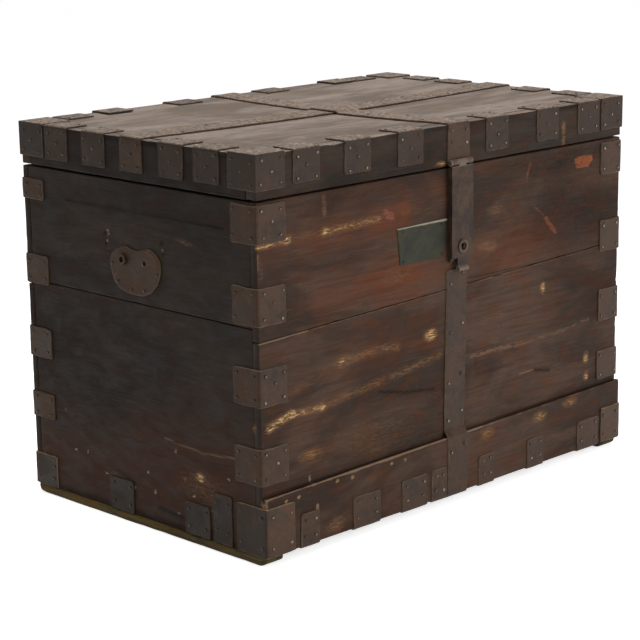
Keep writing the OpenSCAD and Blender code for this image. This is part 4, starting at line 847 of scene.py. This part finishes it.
def plate(path, place, w0, w1, thick, seed, ragged=0.9, corner=4.0, dent=0.35, cell=7.0, lift=0.7):
    """Sheet iron bent along a path. path is turned_path's result, with normals towards the outer side.
    place(a, b, w) gives the 3-D points for path coordinates a, b and a distance w across."""
    line, normal = path
    run = np.concatenate([[0], np.cumsum(np.linalg.norm(np.diff(line, axis=0), axis=1))])
    length = run[-1]
    bevel = 0.9
    extra = np.array([0, bevel, corner * 0.55, corner])
    inside = run[(run > corner + 1) & (run < length - corner - 1)]
    s = np.unique(np.round(np.concatenate([extra, inside, length - extra]), 4))
    count = max(1, int(round((w1 - w0 - 2 * corner) / cell)))
    inside = np.linspace(w0 + corner, w1 - corner, count + 1)
    w = np.concatenate([w0 + extra[:-1], inside, (w1 - extra[:-1])[::-1]])
    sg, wg = np.meshgrid(s, w, indexing="ij")
    shape = sg.shape
    sg, wg = sg.ravel(), wg.ravel()
    # Rounded corners of the outline
    cs, cw = np.clip(sg, corner, length - corner), np.clip(wg, w0 + corner, w1 - corner)
    ds, dw = sg - cs, wg - cw
    far = np.maximum(np.hypot(ds, dw), 1e-9)
    pull = np.minimum(1, corner / far)
    edge_s, edge_w = np.minimum(sg, length - sg), np.minimum(wg - w0, w1 - wg)
    near = np.minimum(edge_s, edge_w)
    so, wo = cs + ds * pull, cw + dw * pull
    # Ragged outline
    probe = np.stack([so, wo, np.full_like(so, seed * 13.7)], 1)
    fade = np.exp(-near / 4.0)
    so = so + ragged * noise(probe, 13, seed) * fade * np.sign(ds) * (edge_s < corner + 0.1)
    wo = wo + ragged * noise(probe, 15, seed + 1) * fade * np.sign(dw) * (edge_w < corner + 0.1)
    so = np.clip(so, 0, length)
    a = np.interp(so, run, line[:, 0])
    b = np.interp(so, run, line[:, 1])
    na = np.interp(so, run, normal[:, 0])
    nb = np.interp(so, run, normal[:, 1])
    size = np.hypot(na, nb)
    na, nb = na / size, nb / size
    rise = thick + dent * noise(probe, 16, seed + 2) + 0.5 * dent * noise(probe, 7, seed + 3) - dent * 0.8
    rise = np.where(near < 0.01, rise * 0.5, rise)
    corner_lift = lift * np.clip(noise(probe, 40, seed + 4), 0, 1) * np.exp(-np.hypot(edge_s, edge_w) / 12.0)
    outer = place(a + na * (rise + corner_lift), b + nb * (rise + corner_lift), wo)
    inner = place(a + na * corner_lift * 0.9, b + nb * corner_lift * 0.9, wo)
    count = len(so)
    grid = np.arange(count).reshape(shape)
    top = grid_quads(grid)
    under = grid_quads(grid + count, True)
    ring = np.concatenate([grid[:, 0], grid[-1, 1:], grid[::-1, -1][1:], grid[0, ::-1][1:-1]])
    after = np.roll(ring, -1)
    side = np.stack([ring, ring + count, after + count, after], 1)
    faces = np.concatenate([top, under, side])
    points = np.concatenate([outer, inner])
    rim = np.concatenate([np.exp(-near / 2.2)] * 2)
    return points, [tuple(f) for f in faces.tolist()], rim


def outward(part):
    """The same part with its faces turned outward, by the sign of its volume."""
    points, faces, rim = part
    tri = np.array([(f[0], f[k], f[k + 1]) for f in faces for k in range(1, len(f) - 1)])
    a, b, c = points[tri[:, 0]], points[tri[:, 1]], points[tri[:, 2]]
    centre = points.mean(0)
    volume = np.einsum("ij,ij->i", a - centre, np.cross(b - centre, c - centre)).sum()
    return (points, [f[::-1] for f in faces], rim) if volume < 0 else part


# How much dust lies on some of the lid's irons, where the others have 1
DUST_SHARE = {"lid_back_clips_bent": 0.7, "lid_left_clips_bent": 0.85, "lid_long_strap_bent": 0.93}


def add_dust(piece, dark_sides=False):
    """Pale dust on what faces up along the top of the lid. dark_sides keeps it off the rims there."""
    normals = np.zeros(len(piece.data.vertices) * 3)
    piece.data.vertices.foreach_get("normal", normals)
    on_top = places(piece)[:, 2] > LID_TOP - SAG - 0.5
    low, high, rubbed = (0.75, 0.95, 0.2) if dark_sides else (0.45, 0.85, 0.6)
    dust = np.clip((normals.reshape(-1, 3)[:, 2] - low) / (high - low), 0, 1) * on_top
    rim = get_rim(piece)
    set_values(piece, "dust", dust * DUST_SHARE.get(piece.name, 1.0))
    set_values(piece, "rim", np.where(on_top, rim * rubbed, rim))


def irons(node, parts, body, material, tail="bent", sharp=42):
    """One piece of iron made of these parts, which stands for its CAD node."""
    points, faces, rim = join([outward(p) for p in parts])
    piece = new_object(f"{node}_{tail}", points, faces, body, node, sharp)
    set_values(piece, "rim", rim)
    add_dust(piece, "strap" in node)
    piece.data.materials.append(material)
    return piece


# The four sides: u runs along the side, d is the distance outward from its wood, z is up


def on_front(u, d, z, half=HALF_D):
    return np.stack([u, -half - d, z], 1)


def on_left(u, d, z, half=HALF_W):
    return np.stack([-half - d, -u, z], 1)


def on_back(u, d, z, half=HALF_D):
    return np.stack([-u, half + d, z], 1)


def on_right(u, d, z, half=HALF_W):
    return np.stack([half + d, u, z], 1)


# Nails


def nail(centre, across, up, out, radius, height, seed, bright=1.0):
    """A domed, slightly crooked nail head. across, up and out are unit vectors."""
    r = rng(seed)
    centre, across, up, out = (np.array(v, float) for v in (centre, across, up, out))
    around = 10
    tilt = r.uniform(-0.16, 0.16, 2)
    shift = r.uniform(-0.12, 0.12, 2) * radius
    wob = 1 + r.uniform(-0.1, 0.1, around)
    angles = np.arange(around) * 2 * math.pi / around + r.uniform(0, 6)
    points = []
    for share, lift in ((1.0, -0.5), (1.0, 0.12), (0.86, 0.62), (0.48, 0.95)):
        reach = radius * share * (wob if share > 0.5 else 1.0)
        ca, sa = np.cos(angles) * reach, np.sin(angles) * reach
        h = height * lift + (tilt[0] * ca + tilt[1] * sa) * (lift > 0)
        points.append(centre + np.outer(ca + shift[0] * (lift > 0), across)
                      + np.outer(sa + shift[1] * (lift > 0), up) + np.outer(h, out))
    points = np.concatenate(points + [(centre + out * height)[None]])
    faces = [tuple(range(around))[::-1]]
    for ring in range(3):
        for k in range(around):
            a, b = ring * around + k, ring * around + (k + 1) % around
            faces.append((a, b, b + around, a + around))
    top = 4 * around
    faces += [(3 * around + k, 3 * around + (k + 1) % around, top) for k in range(around)]
    # The rim rises to 1 at the crown, which the material turns bright: a worn crown and a painted highlight,
    # scaled by bright.
    rim = np.concatenate([np.zeros(around), np.full(around, 0.2), np.full(around, 0.6), np.ones(around + 1)])
    return points, faces, rim * bright * r.uniform(0.55, 1.0)


SIDES = {"front": (on_front, (1, 0, 0), (0, -1, 0)), "left": (on_left, (0, -1, 0), (-1, 0, 0)),
         "back": (on_back, (-1, 0, 0), (0, 1, 0)), "right": (on_right, (0, 1, 0), (1, 0, 0))}
nail_parts = {"case": [], "lid": []}


def side_nail(body, side, u, z, d, radius=3.1, height=1.4):
    seed = len(nail_parts[body]) * 7 + (3 if body == "lid" else 5)
    r = rng(seed)
    place, across, out = SIDES[side]
    u, z = u + r.uniform(-1.8, 1.8), z + r.uniform(-1.8, 1.8)
    radius = radius * r.uniform(0.72, 1.02)
    centre = place(np.array([u]), np.array([d - 0.25]), np.array([z]))[0]
    # Nails on the front get brighter crowns, a stronger painted highlight, than those on the other sides.
    nail_parts[body].append(nail(centre, across, (0, 0, 1), out, radius, height * r.uniform(0.75, 1.1), seed,
                                 1.0 if side == "front" else 0.6))


def top_nail(x, y, z, radius=3.0):
    seed = len(nail_parts["lid"]) * 7 + 3
    r = rng(seed)
    x, y = x + r.uniform(-1.8, 1.8), y + r.uniform(-1.8, 1.8)
    centre = (x, y, z - float(sag(x, y)) - 0.25)
    nail_parts["lid"].append(nail(centre, (1, 0, 0), (0, 1, 0), (0, 0, 1), radius * r.uniform(0.72, 1.0),
                                  1.3 * r.uniform(0.75, 1.1), seed, 0.6))


# Clips round the lid's top edge
LID_AT = [0.118, 0.243, 0.379, 0.618, 0.767, 0.894]
LID_END_AT = [0.167, 0.335, 0.667, 0.810]
BACK_AT = [s for s in LID_AT
           if all(abs(HALF_W - s * LONG - x) > CLIP_W for x in (STRAP_X - HINGE_X, STRAP_X + HINGE_X))]


def top_clip(side, at, seed):
    """Clip over the lid's edge. Its path runs from its lower end up the side and in over the top."""
    place = SIDES[side][0]
    low = LID_TOP - DROP + rng(seed).uniform(-1.5, 2.5)
    line, normal = turned_path([(0, low), (0, LID_TOP), (-OVER, LID_TOP)])
    width = CLIP_W + rng(seed + 1).uniform(-2.5, 0)

    def spot(a, b, w):
        points = place(w, a, b)
        points[:, 2] -= np.where(a < -1, sag(points[:, 0], points[:, 1]), 0)
        return points
    return plate((line, -normal), spot, at - width / 2, at + width / 2, CLIP_T, seed)


def lid_side_nails(side, at, width, thick):
    """Five nails in an iron on the lid's side: one near each corner and one in the middle."""
    for su in (-1, 1):
        for z in (LID_TOP - DROP + INSET, LID_TOP - INSET):
            side_nail("lid", side, at + su * (width / 2 - INSET), z, thick)
    side_nail("lid", side, at, LID_TOP - DROP / 2, thick)


def clip_row(side, shares, length, material, seed):
    parts = []
    place = SIDES[side][0]
    for i, share in enumerate(shares):
        at = share * length - length / 2
        parts.append(top_clip(side, at, seed + i * 5))
        lid_side_nails(side, at, CLIP_W, CLIP_T)
        for su in (-1, 1):
            u = at + su * (CLIP_W / 2 - INSET)
            x, y, _ = place(np.array([u]), np.array([-OVER + INSET]), np.array([0.0]))[0]
            top_nail(x, y, LID_TOP + CLIP_T)
    irons(f"lid_{side}_clips", parts, "lid", material)


clip_row("front", LID_AT, LONG, LID_IRON, 200)
clip_row("back", BACK_AT, LONG, DARK_IRON, 240)
clip_row("left", LID_END_AT, DEEP, LID_END_IRON_PAINTED_SHADE, 280)
clip_row("right", LID_END_AT, DEEP, LID_END_IRON_PAINTED_SHADE, 320)

# Clips up the case's corners: share of the way up, and height as a share of the usual one
CORNERS = {"front_left": ((-1, -1), [(0, 1), (0.333, 1), (0.667, 1), (1, 1)]),
           "front_right": ((1, -1), [(0, 0.89), (0.295, 0.98), (0.631, 0.95), (1, 0.96)]),
           "back_left": ((-1, 1), [(0, 0.75), (0.293, 0.86), (0.628, 0.84), (0.99, 0.58)]),
           "back_right": ((1, 1), [(0, 1), (0.333, 0.9), (0.667, 1), (1, 0.9)])}
FIRST_CLIP, LAST_CLIP = 153.0, 516.0
# The end leaf of the front corners' foot plates
PLINTH_LEG = 66.0


def corner_plate(sx, sy, reach_y, leg_y, z0, z1, seed):
    """Angle plate round an upright corner."""
    r = rng(seed)
    leg_x, leg_y = CLIP_W - r.uniform(0, 4), leg_y - r.uniform(0, 4)
    path = turned_path([(-HALF_W + leg_x, -reach_y), (-HALF_W, -reach_y), (-HALF_W, -reach_y + leg_y)], 3.0)

    def spot(a, b, w):
        return np.stack([-sx * a, -sy * b, w], 1)
    return plate(path, spot, z0, z1, CLIP_T, seed)


def leaf_nails(sx, sy, z0, z1, leg_y=CLIP_W, half_d=HALF_D):
    """Nails on both leaves of an angle plate: two columns on each."""
    front, end = ("front" if sy < 0 else "back"), ("left" if sx < 0 else "right")
    for c in (INSET, CLIP_W - 10):
        for z in (z0 + INSET, z1 - INSET):
            side_nail("case", front, -sx * sy * (HALF_W - c), z, CLIP_T + half_d - HALF_D)
    for c in (10, leg_y - 10):
        for z in (z0 + INSET, z1 - INSET):
            side_nail("case", end, sx * sy * (half_d - c), z, CLIP_T)


def corner_clips():
    for number, (tag, ((sx, sy), clips)) in enumerate(CORNERS.items()):
        parts = []
        for i, (share, height) in enumerate(clips):
            z = FIRST_CLIP + share * (LAST_CLIP - FIRST_CLIP)
            half = height * CLIP_W / 2
            seed = 400 + number * 40 + i * 5
            parts.append(corner_plate(sx, sy, HALF_D, CLIP_W, z - half, z + half, seed))
            leaf_nails(sx, sy, z - half, z + half)
            if sx < 0 and sy < 0:
                side_nail("case", "front", -HALF_W + 30, z + 4, CLIP_T)
        piece = irons(f"{tag}_corner_clips", parts, "case", FRONT_IRON if sy < 0 else END_IRON)
        # The end leaves take the darker end iron: painted shade on the side turned from the light.
        second_material(piece, END_IRON, faces_end)
    foot_plates = ((-1, -1, -PLINTH_Y, PLINTH_LEG, 77, 571), (1, -1, -PLINTH_Y, PLINTH_LEG, 62, 577),
                   (-1, 1, HALF_D, CLIP_W, 54, 583), (1, 1, HALF_D, CLIP_W, 54, 587))
    parts = [corner_plate(sx, sy, reach, leg, CASE_Z, CASE_Z + tall, seed)
             for sx, sy, reach, leg, tall, seed in foot_plates]
    piece = irons("plinth_corner_plates", parts, "case", PLINTH_IRON)
    # Its end and back faces take the darker lid end iron: painted shade.
    second_material(piece, LID_END_IRON_PAINTED_SHADE, lambda normal: faces_end(normal) or normal.y > 0.5)
    place = places(piece)
    near = np.exp(-np.hypot(place[:, 0] + HALF_W, place[:, 1] - PLINTH_Y) / 4.0)
    set_values(piece, "rim", np.maximum(get_rim(piece), 0.9 * near * (0.6 + 0.4 * noise(place, 9, 8))))
    leaf_nails(-1, -1, CASE_Z + 6, CASE_Z + 72, PLINTH_LEG, -PLINTH_Y)
    leaf_nails(1, -1, CASE_Z + 5, CASE_Z + 58, PLINTH_LEG, -PLINTH_Y)


corner_clips()

# Clips along the foot
FOOT_AT = [0.104, 0.248, 0.376, 0.580, 0.728, 0.896]
FOOT_W = [38.0, 60.0, 58.0, 38.0, 42.0, 57.0]
LOW_TOP = 386.0
LOW_W = 47.0


def low_strap_x(z):
    return STRAP_X - 4 - 8 * (LOW_TOP - np.asarray(z)) / (LOW_TOP - CASE_Z)


def foot_clip(side, at, width, height, seed, half, under=OVER):
    place = SIDES[side][0]
    corners = [(0, CASE_Z + height - rng(seed).uniform(0, 3)), (0, CASE_Z)]
    if under:
        corners.append((-under, CASE_Z))

    def spot(a, b, w):
        return place(w, a, b, half)
    return plate(turned_path(corners), spot, at - width / 2, at + width / 2, CLIP_T, seed)


def foot_row(side, clips, half, under, material, seed, rows, jut=0.0):
    """Clips along one side's foot, each as (middle, width, height). rows are shares of the height where
    nails are, and jut is how far the wood stands out there."""
    parts = []
    for i, (at, width, height) in enumerate(clips):
        parts.append(foot_clip(side, at, width, height, seed + i * 5, half, under))
        for su in (-1, 1):
            for row in rows:
                side_nail("case", side, at + su * (width / 2 - INSET), CASE_Z + row * height, CLIP_T + jut)
    irons(f"{side}_foot_clips", parts, "case", material)


beside = float(low_strap_x(CASE_Z)) - (LOW_W + 36) / 2 - 1.5
foot_row("front", [(s * LONG - HALF_W, w, 52) for s, w in zip(FOOT_AT, FOOT_W)] + [(beside, 36.0, 52)],
         -PLINTH_Y, OVER, FRONT_IRON, 600, (0.3, 0.78), 9.0)
foot_row("back", [(s * LONG - HALF_W, CLIP_W, 52) for s in LID_AT], HALF_D, OVER, DARK_IRON, 650, (0.3, 0.78))
foot_row("left", [(0.406 * DEEP - HALF_D, CLIP_W, 54), (0.735 * DEEP - HALF_D, CLIP_W, 54),
                  (HALF_D - 87, 42.0, 82)], HALF_W, 0, FOOT_IRON_PAINTED_SHADE, 700, (0.25, 0.8))
foot_row("right", [(s * DEEP - HALF_D, CLIP_W, 54) for s in LID_END_AT],
         HALF_W, 0, END_IRON, 730, (0.25, 0.8))

# Straps


def tube(x0, x1, y, z, outer, inner, seed, around=28):
    """Rolled knuckle along X with an open bore."""
    angles = np.arange(around) * 2 * math.pi / around
    stations = [(x0, outer - 0.7), (x0 + 0.7, outer), *[(x, outer) for x in np.linspace(x0 + 3, x1 - 3, 3)],
                (x1 - 0.7, outer), (x1, outer - 0.7), (x1, inner), (x0, inner)]
    points = np.concatenate([np.stack([np.full(around, x), y + r * np.cos(angles), z + r * np.sin(angles)], 1)
                             for x, r in stations])
    points[:, 1:] += 0.12 * noise(points, 6, seed)[:, None]
    faces = []
    for k in range(len(stations)):
        a, b = k * around, (k + 1) % len(stations) * around
        faces += [(a + i, b + i, b + (i + 1) % around, a + (i + 1) % around) for i in range(around)]
    rim = np.concatenate([np.full(around, 1.0 if k in (0, 1, 5, 6) else 0.35) for k in range(len(stations))])
    return points, faces, rim


def strap(node, body, corners, spot, width, seed, material, ragged=0.8, radius=3.5):
    """Strap iron that follows corners. spot gives the 3-D points, as for plate()."""
    path = turned_path(corners, radius, 9.0)
    sheet = plate(path, spot, -width / 2, width / 2, STRAP_T, seed, ragged, 3.0, 0.5)
    return irons(node, [sheet], body, material)


def long_strap():
    def spot(a, b, w):
        return np.stack([a, w, b - sag(a, w)], 1)
    corners = [(-HALF_W, LID_TOP - DROP), (-HALF_W, LID_TOP), (HALF_W, LID_TOP), (HALF_W, LID_TOP - DROP)]
    strap("lid_long_strap", "lid", corners, spot, STRAP_W, 801, END_IRON)


# The knuckles at the ends of the lid's centre strap: y, z, outer and inner radius
KNUCKLES = ((-278.3, 557.0, 5.0, 2.05), (278.8, 550.0, 5.5, 2.55))


def centre_strap():
    def spot(a, b, w):
        x = w + STRAP_X
        return np.stack([x, a, b - sag(x, a)], 1)
    corners = [(-HALF_D, KNUCKLES[0][1]), (-HALF_D, LID_TOP),
               (-33.5, LID_TOP), (-26.5, LID_TOP + STRAP_T), (26.5, LID_TOP + STRAP_T), (33.5, LID_TOP),
               (HALF_D, LID_TOP), (HALF_D, KNUCKLES[1][1])]
    piece = strap("lid_centre_strap", "lid", corners, spot, STRAP_W, 811, FRONT_IRON)
    third = STRAP_W / 6 + 0.3
    parts = []
    for y, z, outer, inner in KNUCKLES:
        r = outer + 0.6
        low_y, high_y = (y - r, y + 9) if y < 0 else (y - 9, y + r)
        take_out(piece, (STRAP_X - third, low_y, z - 9), (STRAP_X + third, high_y, z + r))
        parts.append(tube(STRAP_X - STRAP_W / 2, STRAP_X - third, y, z, outer, inner, 821))
        parts.append(tube(STRAP_X + third, STRAP_X + STRAP_W / 2, y, z, outer, inner, 823))
    irons("lid_centre_strap", parts, "lid", RUBBED_IRON, "knuckles")


def lower_strap():
    def spot(a, b, w):
        return np.stack([w + low_strap_x(b), a, b], 1)
    corners = [(PLINTH_Y + 36, CASE_Z), (PLINTH_Y, CASE_Z), (PLINTH_Y, 112.5), (-HALF_D, 123.5),
               (-HALF_D, LOW_TOP)]
    strap("front_strap", "case", corners, spot, LOW_W, 831, FRONT_IRON, 1.0, 3.0)
    for z, d in ((371, 0), (291, 0), (206, 0), (143.5, 0), (92.5, 9)):
        for su in (-1, 1):
            u = float(low_strap_x(z)) + su * (LOW_W / 2 - INSET)
            side_nail("case", "front", u, z + su * 6, STRAP_T + d)


def name_plate():
    low_z, high_z, half = 410.0, 469.0, 50.0

    def spot(a, b, w):
        t = (b - low_z) / (high_z - low_z)
        left, right = -128 - 7 * t, -26 + 7 * t
        x = left + (right - left) * (w + half) / (2 * half)
        return np.stack([x, a - HALF_D, b + t * (w + half) / 100], 1)
    path = turned_path([(0, low_z), (0, high_z)])
    sheet = plate(path, spot, -half, half, PLATE_T, 841, 0.5, 2.0, 0.3, 7.0, 0.3)
    piece = irons("name_plate", [sheet], "case", PLATE)
    # The rim is set along the top edge only, which turns bright: a painted highlight.
    set_values(piece, "rim", np.clip((places(piece)[:, 2] - high_z + 2.6) / 1.5, 0, 1))


long_strap()
centre_strap()
lower_strap()
name_plate()

# Handle plates: the outline, the rivets and the holes as (u, z) on an end, and the thickness
HANDLE_OUTLINE = [(-23.3, 448.5), (-44.1, 440.8), (-56.3, 427.6), (-55.9, 410.3), (-47.3, 389.0),
                  (-27.4, 378.0), (2.7, 374.9), (25.0, 377.3), (44.1, 388.6), (57.6, 406.7),
                  (61.5, 429.3), (50.7, 444.6), (32.8, 451.0), (14.0, 445.6), (-0.9, 444.6)]
RIVETS = [(-51, 418), (-40, 391), (-8, 381), (23, 384), (53, 413)]
HOLES = [(-25, 428), (25, 428)]
HOLE_R = 4.5
HANDLE_T = 3.0


def smooth_loop(corners, count):
    """A closed curve through these points, with this many steps from each to the next."""
    p = np.array(corners, float)
    out = []
    for i in range(len(p)):
        a, b, c, d = p[i - 1], p[i], p[(i + 1) % len(p)], p[(i + 2) % len(p)]
        for t in np.arange(count) / count:
            out.append(b + 0.5 * ((c - a) * t + (2 * a - 5 * b + 4 * c - d) * t ** 2
                                  + (3 * b - a - 3 * c + d) * t ** 3))
    return np.array(out)


def handle_plate(side, seed):
    place = SIDES[side][0]
    loop = smooth_loop(HANDLE_OUTLINE, 8)
    loop += 0.35 * np.stack([noise(np.pad(loop, ((0, 0), (0, 1))), 9, seed + k) for k in (0, 1)], 1)
    middle = np.array([0.0, 414.0])
    count = len(loop)
    rings = [(0.5, 0.0), (1.0, 0.0), (1.0, HANDLE_T - 1.1), (0.985, HANDLE_T - 0.3), (0.955, HANDLE_T)]
    rings += [(share, HANDLE_T) for share in (0.86, 0.72, 0.56, 0.4, 0.22)]
    flat = np.concatenate([middle + (loop - middle) * share for share, _ in rings])
    depth = np.repeat([d for _, d in rings], count)
    dent = 0.35 * noise(np.pad(flat, ((0, 0), (0, 1))), 14, seed + 2) - 0.3
    depth = depth + np.where(depth > 0.1, dent, 0)
    flat = np.concatenate([flat, [middle, middle]])
    depth = np.concatenate([depth, [0.0, HANDLE_T - 0.3]])
    faces = []
    for ring in range(len(rings) - 1):
        for k in range(count):
            a, b = ring * count + k, ring * count + (k + 1) % count
            faces.append((a, b, b + count, a + count))
    last, under, over = (len(rings) - 1) * count, len(flat) - 2, len(flat) - 1
    for k in range(count):
        faces.append(((k + 1) % count, k, under))
        faces.append((last + k, last + (k + 1) % count, over))
    points = place(flat[:, 0], depth, flat[:, 1])
    node = f"{side}_handle_plate"
    piece = irons(node, [(points, faces, np.zeros(len(points)))], "case", END_IRON, "worn")
    angles = np.arange(20) * math.pi / 10
    for u, z in HOLES:
        ring_u, ring_z = u + HOLE_R * np.cos(angles), z + HOLE_R * np.sin(angles)
        near, far = place(ring_u, np.full(20, -4.0), ring_z), place(ring_u, np.full(20, 9.0), ring_z)
        walls = [(k, (k + 1) % 20, 20 + (k + 1) % 20, 20 + k) for k in range(20)]
        walls += [tuple(range(20))[::-1], tuple(range(20, 40))]
        corners, faces, _ = outward((np.concatenate([near, far]), walls, None))
        cut_with(piece, corners, faces)
    where = places(piece)
    u = -where[:, 1] if side == "left" else where[:, 1]
    z = where[:, 2]
    near = np.hypot(u[:, None] - loop[:, 0], z[:, None] - loop[:, 1]).min(1)
    for hole_u, hole_z in HOLES:
        near = np.minimum(near, np.abs(np.hypot(u - hole_u, z - hole_z) - HOLE_R))
    set_values(piece, "rim", np.exp(-near / 2.0))
    piece.data.set_sharp_from_angle(angle=math.radians(42))


handle_plate("left", 871)
handle_plate("right", 881)
rivet_parts = []
for side in ("left", "right"):
    place, across, out = SIDES[side]
    for number, (u, z) in enumerate(RIVETS):
        centre = place(np.array([float(u)]), np.array([HANDLE_T - 0.4]), np.array([float(z)]))[0]
        rivet_parts.append(nail(centre, across, (0, 0, 1), out, 3.2, 1.7, 891 + number, 0.45))
irons("handle_rivets", rivet_parts, "case", NAIL_IRON, "domed", 80)


# Corner caps of the lid


def corner_caps():
    parts = []
    for n, (sx, sy) in enumerate(((-1, -1), (1, -1), (-1, 1), (1, 1))):
        low = (-HALF_W - CLIP_T, -HALF_D - CLIP_T, LID_TOP - DROP)
        high = (-HALF_W + CLIP_W, -HALF_D + CLIP_W, LID_TOP + CLIP_T)
        points, faces = slab(low, high, 6.0, 1.5, 0.6, 850 + n, 4.0, 0.25, 2)
        points[:, 0] *= -sx
        points[:, 1] *= -sy
        parts.append(outward((points, faces, np.zeros(len(points)))))
    points, faces, _ = join(parts)
    piece = new_object("lid_corner_caps_bent", points, faces, "lid", "lid_corner_caps")
    for sx in (-1, 1):
        for sy in (-1, 1):
            x = sorted((sx * HALF_W, sx * (HALF_W - CLIP_W - 8)))
            y = sorted((sy * HALF_D, sy * (HALF_D - CLIP_W - 8)))
            take_out(piece, (x[0], y[0], 540), (x[1], y[1], LID_TOP))
    x, y, z = np.abs(places(piece)).T
    inside = np.minimum(np.abs(x - HALF_W + CLIP_W), np.abs(y - HALF_D + CLIP_W))
    rim = np.maximum(np.exp(-inside / 2.2), np.exp(-(z - LID_TOP + DROP) / 2.2))
    rim = np.maximum(rim, np.exp(-np.hypot(x - HALF_W, y - HALF_D) / 3.5))
    set_values(piece, "rim", rim)
    add_dust(piece)
    piece.data.set_sharp_from_angle(angle=math.radians(42))
    piece.data.materials.append(LID_IRON)
    # The caps' end faces take the darker lid end iron: painted shade.
    second_material(piece, LID_END_IRON_PAINTED_SHADE, faces_end)


corner_caps()
for su in (-1, 1):
    for side, half in (("front", HALF_W), ("back", HALF_W), ("left", HALF_D), ("right", HALF_D)):
        lid_side_nails(side, su * (half - CLIP_W / 2), CLIP_W, CLIP_T)

# Nails of the straps and of the hinge leaves
BESIDE = STRAP_W / 2 - INSET
for s in (-1, 1):
    for i in range(1, 5):
        top_nail(STRAP_X + s * (STRAP_W / 2 + i * (HALF_W - STRAP_W / 2) / 5),
                 s * BESIDE * (1 if i % 2 == 0 else -1), LID_TOP + STRAP_T)
    for i in range(1, 4):
        top_nail(STRAP_X + (1 if i % 2 == 0 else -1) * BESIDE, s * (33.5 + i * (HALF_D - 33.5) / 4),
                 LID_TOP + STRAP_T)
    for z in (LID_TOP - INSET, 587):
        side_nail("lid", "front", STRAP_X + s * BESIDE, z, STRAP_T)
    for x in (STRAP_X - HINGE_X, STRAP_X, STRAP_X + HINGE_X):
        for z in (LID_TOP - INSET, 583.5):
            side_nail("lid", "back", -x + s * BESIDE, z, STRAP_T)
        for z in (532, 475, 409):
            side_nail("case", "back", -x + s * BESIDE, z, STRAP_T)
for side in ("left", "right"):
    lid_side_nails(side, 0, STRAP_W, STRAP_T)

# Nails of the back's foot plates
for s in (-1, 1):
    leaf_nails(s, 1, CASE_Z + 5, CASE_Z + 49)

for body, nails in nail_parts.items():
    irons(f"{body}_nails", nails, body, NAIL_IRON, "domed", 80)

# Stage and lights


def mix_by_ray(tree, out, kinds, usual, seen):
    """Shows the shader 'seen' to rays of these two kinds, and the usual one to all others."""
    mix = tree.nodes.new("ShaderNodeMixShader")
    path = tree.nodes.new("ShaderNodeLightPath")
    either = tree.nodes.new("ShaderNodeMath")
    either.operation = "MAXIMUM"
    for number, kind in enumerate(kinds):
        tree.links.new(path.outputs[kind], either.inputs[number])
    for number, output in enumerate((either.outputs[0], usual.outputs[0], seen.outputs[0])):
        tree.links.new(output, mix.inputs[number])
    tree.links.new(mix.outputs[0], out.inputs["Surface"])


def make_stage():
    size = 40.0
    corners = [(-size, -size, 0), (size, -size, 0), (size, size, 0), (-size, size, 0)]
    mesh = bpy.data.meshes.new("floor")
    mesh.from_pydata(corners, [], [(0, 1, 2, 3)])
    floor = linked("floor", mesh)
    material = bpy.data.materials.new("floor")
    material.use_nodes = True
    tree = material.node_tree
    tree.nodes.clear()
    out = tree.nodes.new("ShaderNodeOutputMaterial")
    diffuse = tree.nodes.new("ShaderNodeBsdfDiffuse")
    diffuse.inputs["Color"].default_value = (0.86, 0.86, 0.86, 1)
    glow = tree.nodes.new("ShaderNodeEmission")
    glow.inputs["Strength"].default_value = 0.7
    add = tree.nodes.new("ShaderNodeAddShader")
    tree.links.new(diffuse.outputs[0], add.inputs[0])
    tree.links.new(glow.outputs[0], add.inputs[1])
    mix_by_ray(tree, out, ("Is Camera Ray", "Is Glossy Ray"), diffuse, add)
    mesh.materials.append(material)


def area_light(name, place, target, size, power):
    data = bpy.data.lights.new(name, "AREA")
    data.shape = "RECTANGLE"
    data.size, data.size_y = size
    data.energy = power
    light = linked(name, data)
    light.location = place
    light.rotation_mode = "QUATERNION"
    light.rotation_quaternion = (Vector(target) - Vector(place)).to_track_quat("-Z", "Y")


def make_lights():
    area_light("overhead", (0.2, 0.4, 2.6), (0, 0, 0.5), (2.6, 1.8), 62)
    area_light("front", (1.2, -3.2, 1.7), (0, 0, 0.3), (2.2, 1.6), 52)
    area_light("left_fill", (-3.2, -0.8, 1.4), (0, 0, 0.3), (1.6, 1.6), 10)
    world = bpy.data.worlds.new("world")
    bpy.context.scene.world = world
    world.use_nodes = True
    tree = world.node_tree
    tree.nodes.clear()
    out = tree.nodes.new("ShaderNodeOutputWorld")
    ambient = tree.nodes.new("ShaderNodeBackground")
    ambient.inputs["Strength"].default_value = 0.42
    white = tree.nodes.new("ShaderNodeBackground")
    white.inputs["Color"].default_value = (1, 1, 1, 1)
    white.inputs["Strength"].default_value = 1.0
    mix_by_ray(tree, out, ("Is Camera Ray", "Is Transmission Ray"), ambient, white)


make_stage()
make_lights()
bpy.context.scene.view_settings.view_transform = "Standard"

# CAD nodes that stay, with softened edges and the same materials
KEPT_IRON = {"hasp_plate": HASP_IRON, "keyhole_ring": RUBBED_IRON, "lock_plate": FRONT_IRON,
             "hasp_pin": RUBBED_IRON, "name_plate_pins": NAIL_IRON, "left_handle_collar": END_IRON,
             "right_handle_eyes": END_IRON, "lid_outer_hinge_leaves": HINGE_IRON}
for name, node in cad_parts.items():
    if node.hide_render:
        continue
    node.data.materials.clear()
    node.data.materials.append(KEPT_IRON.get(name, DARK_IRON))
    bevel = node.modifiers.new("soft_edges", "BEVEL")
    bevel.width = 0.0005
    bevel.segments = 2
    bevel.limit_method = "ANGLE"
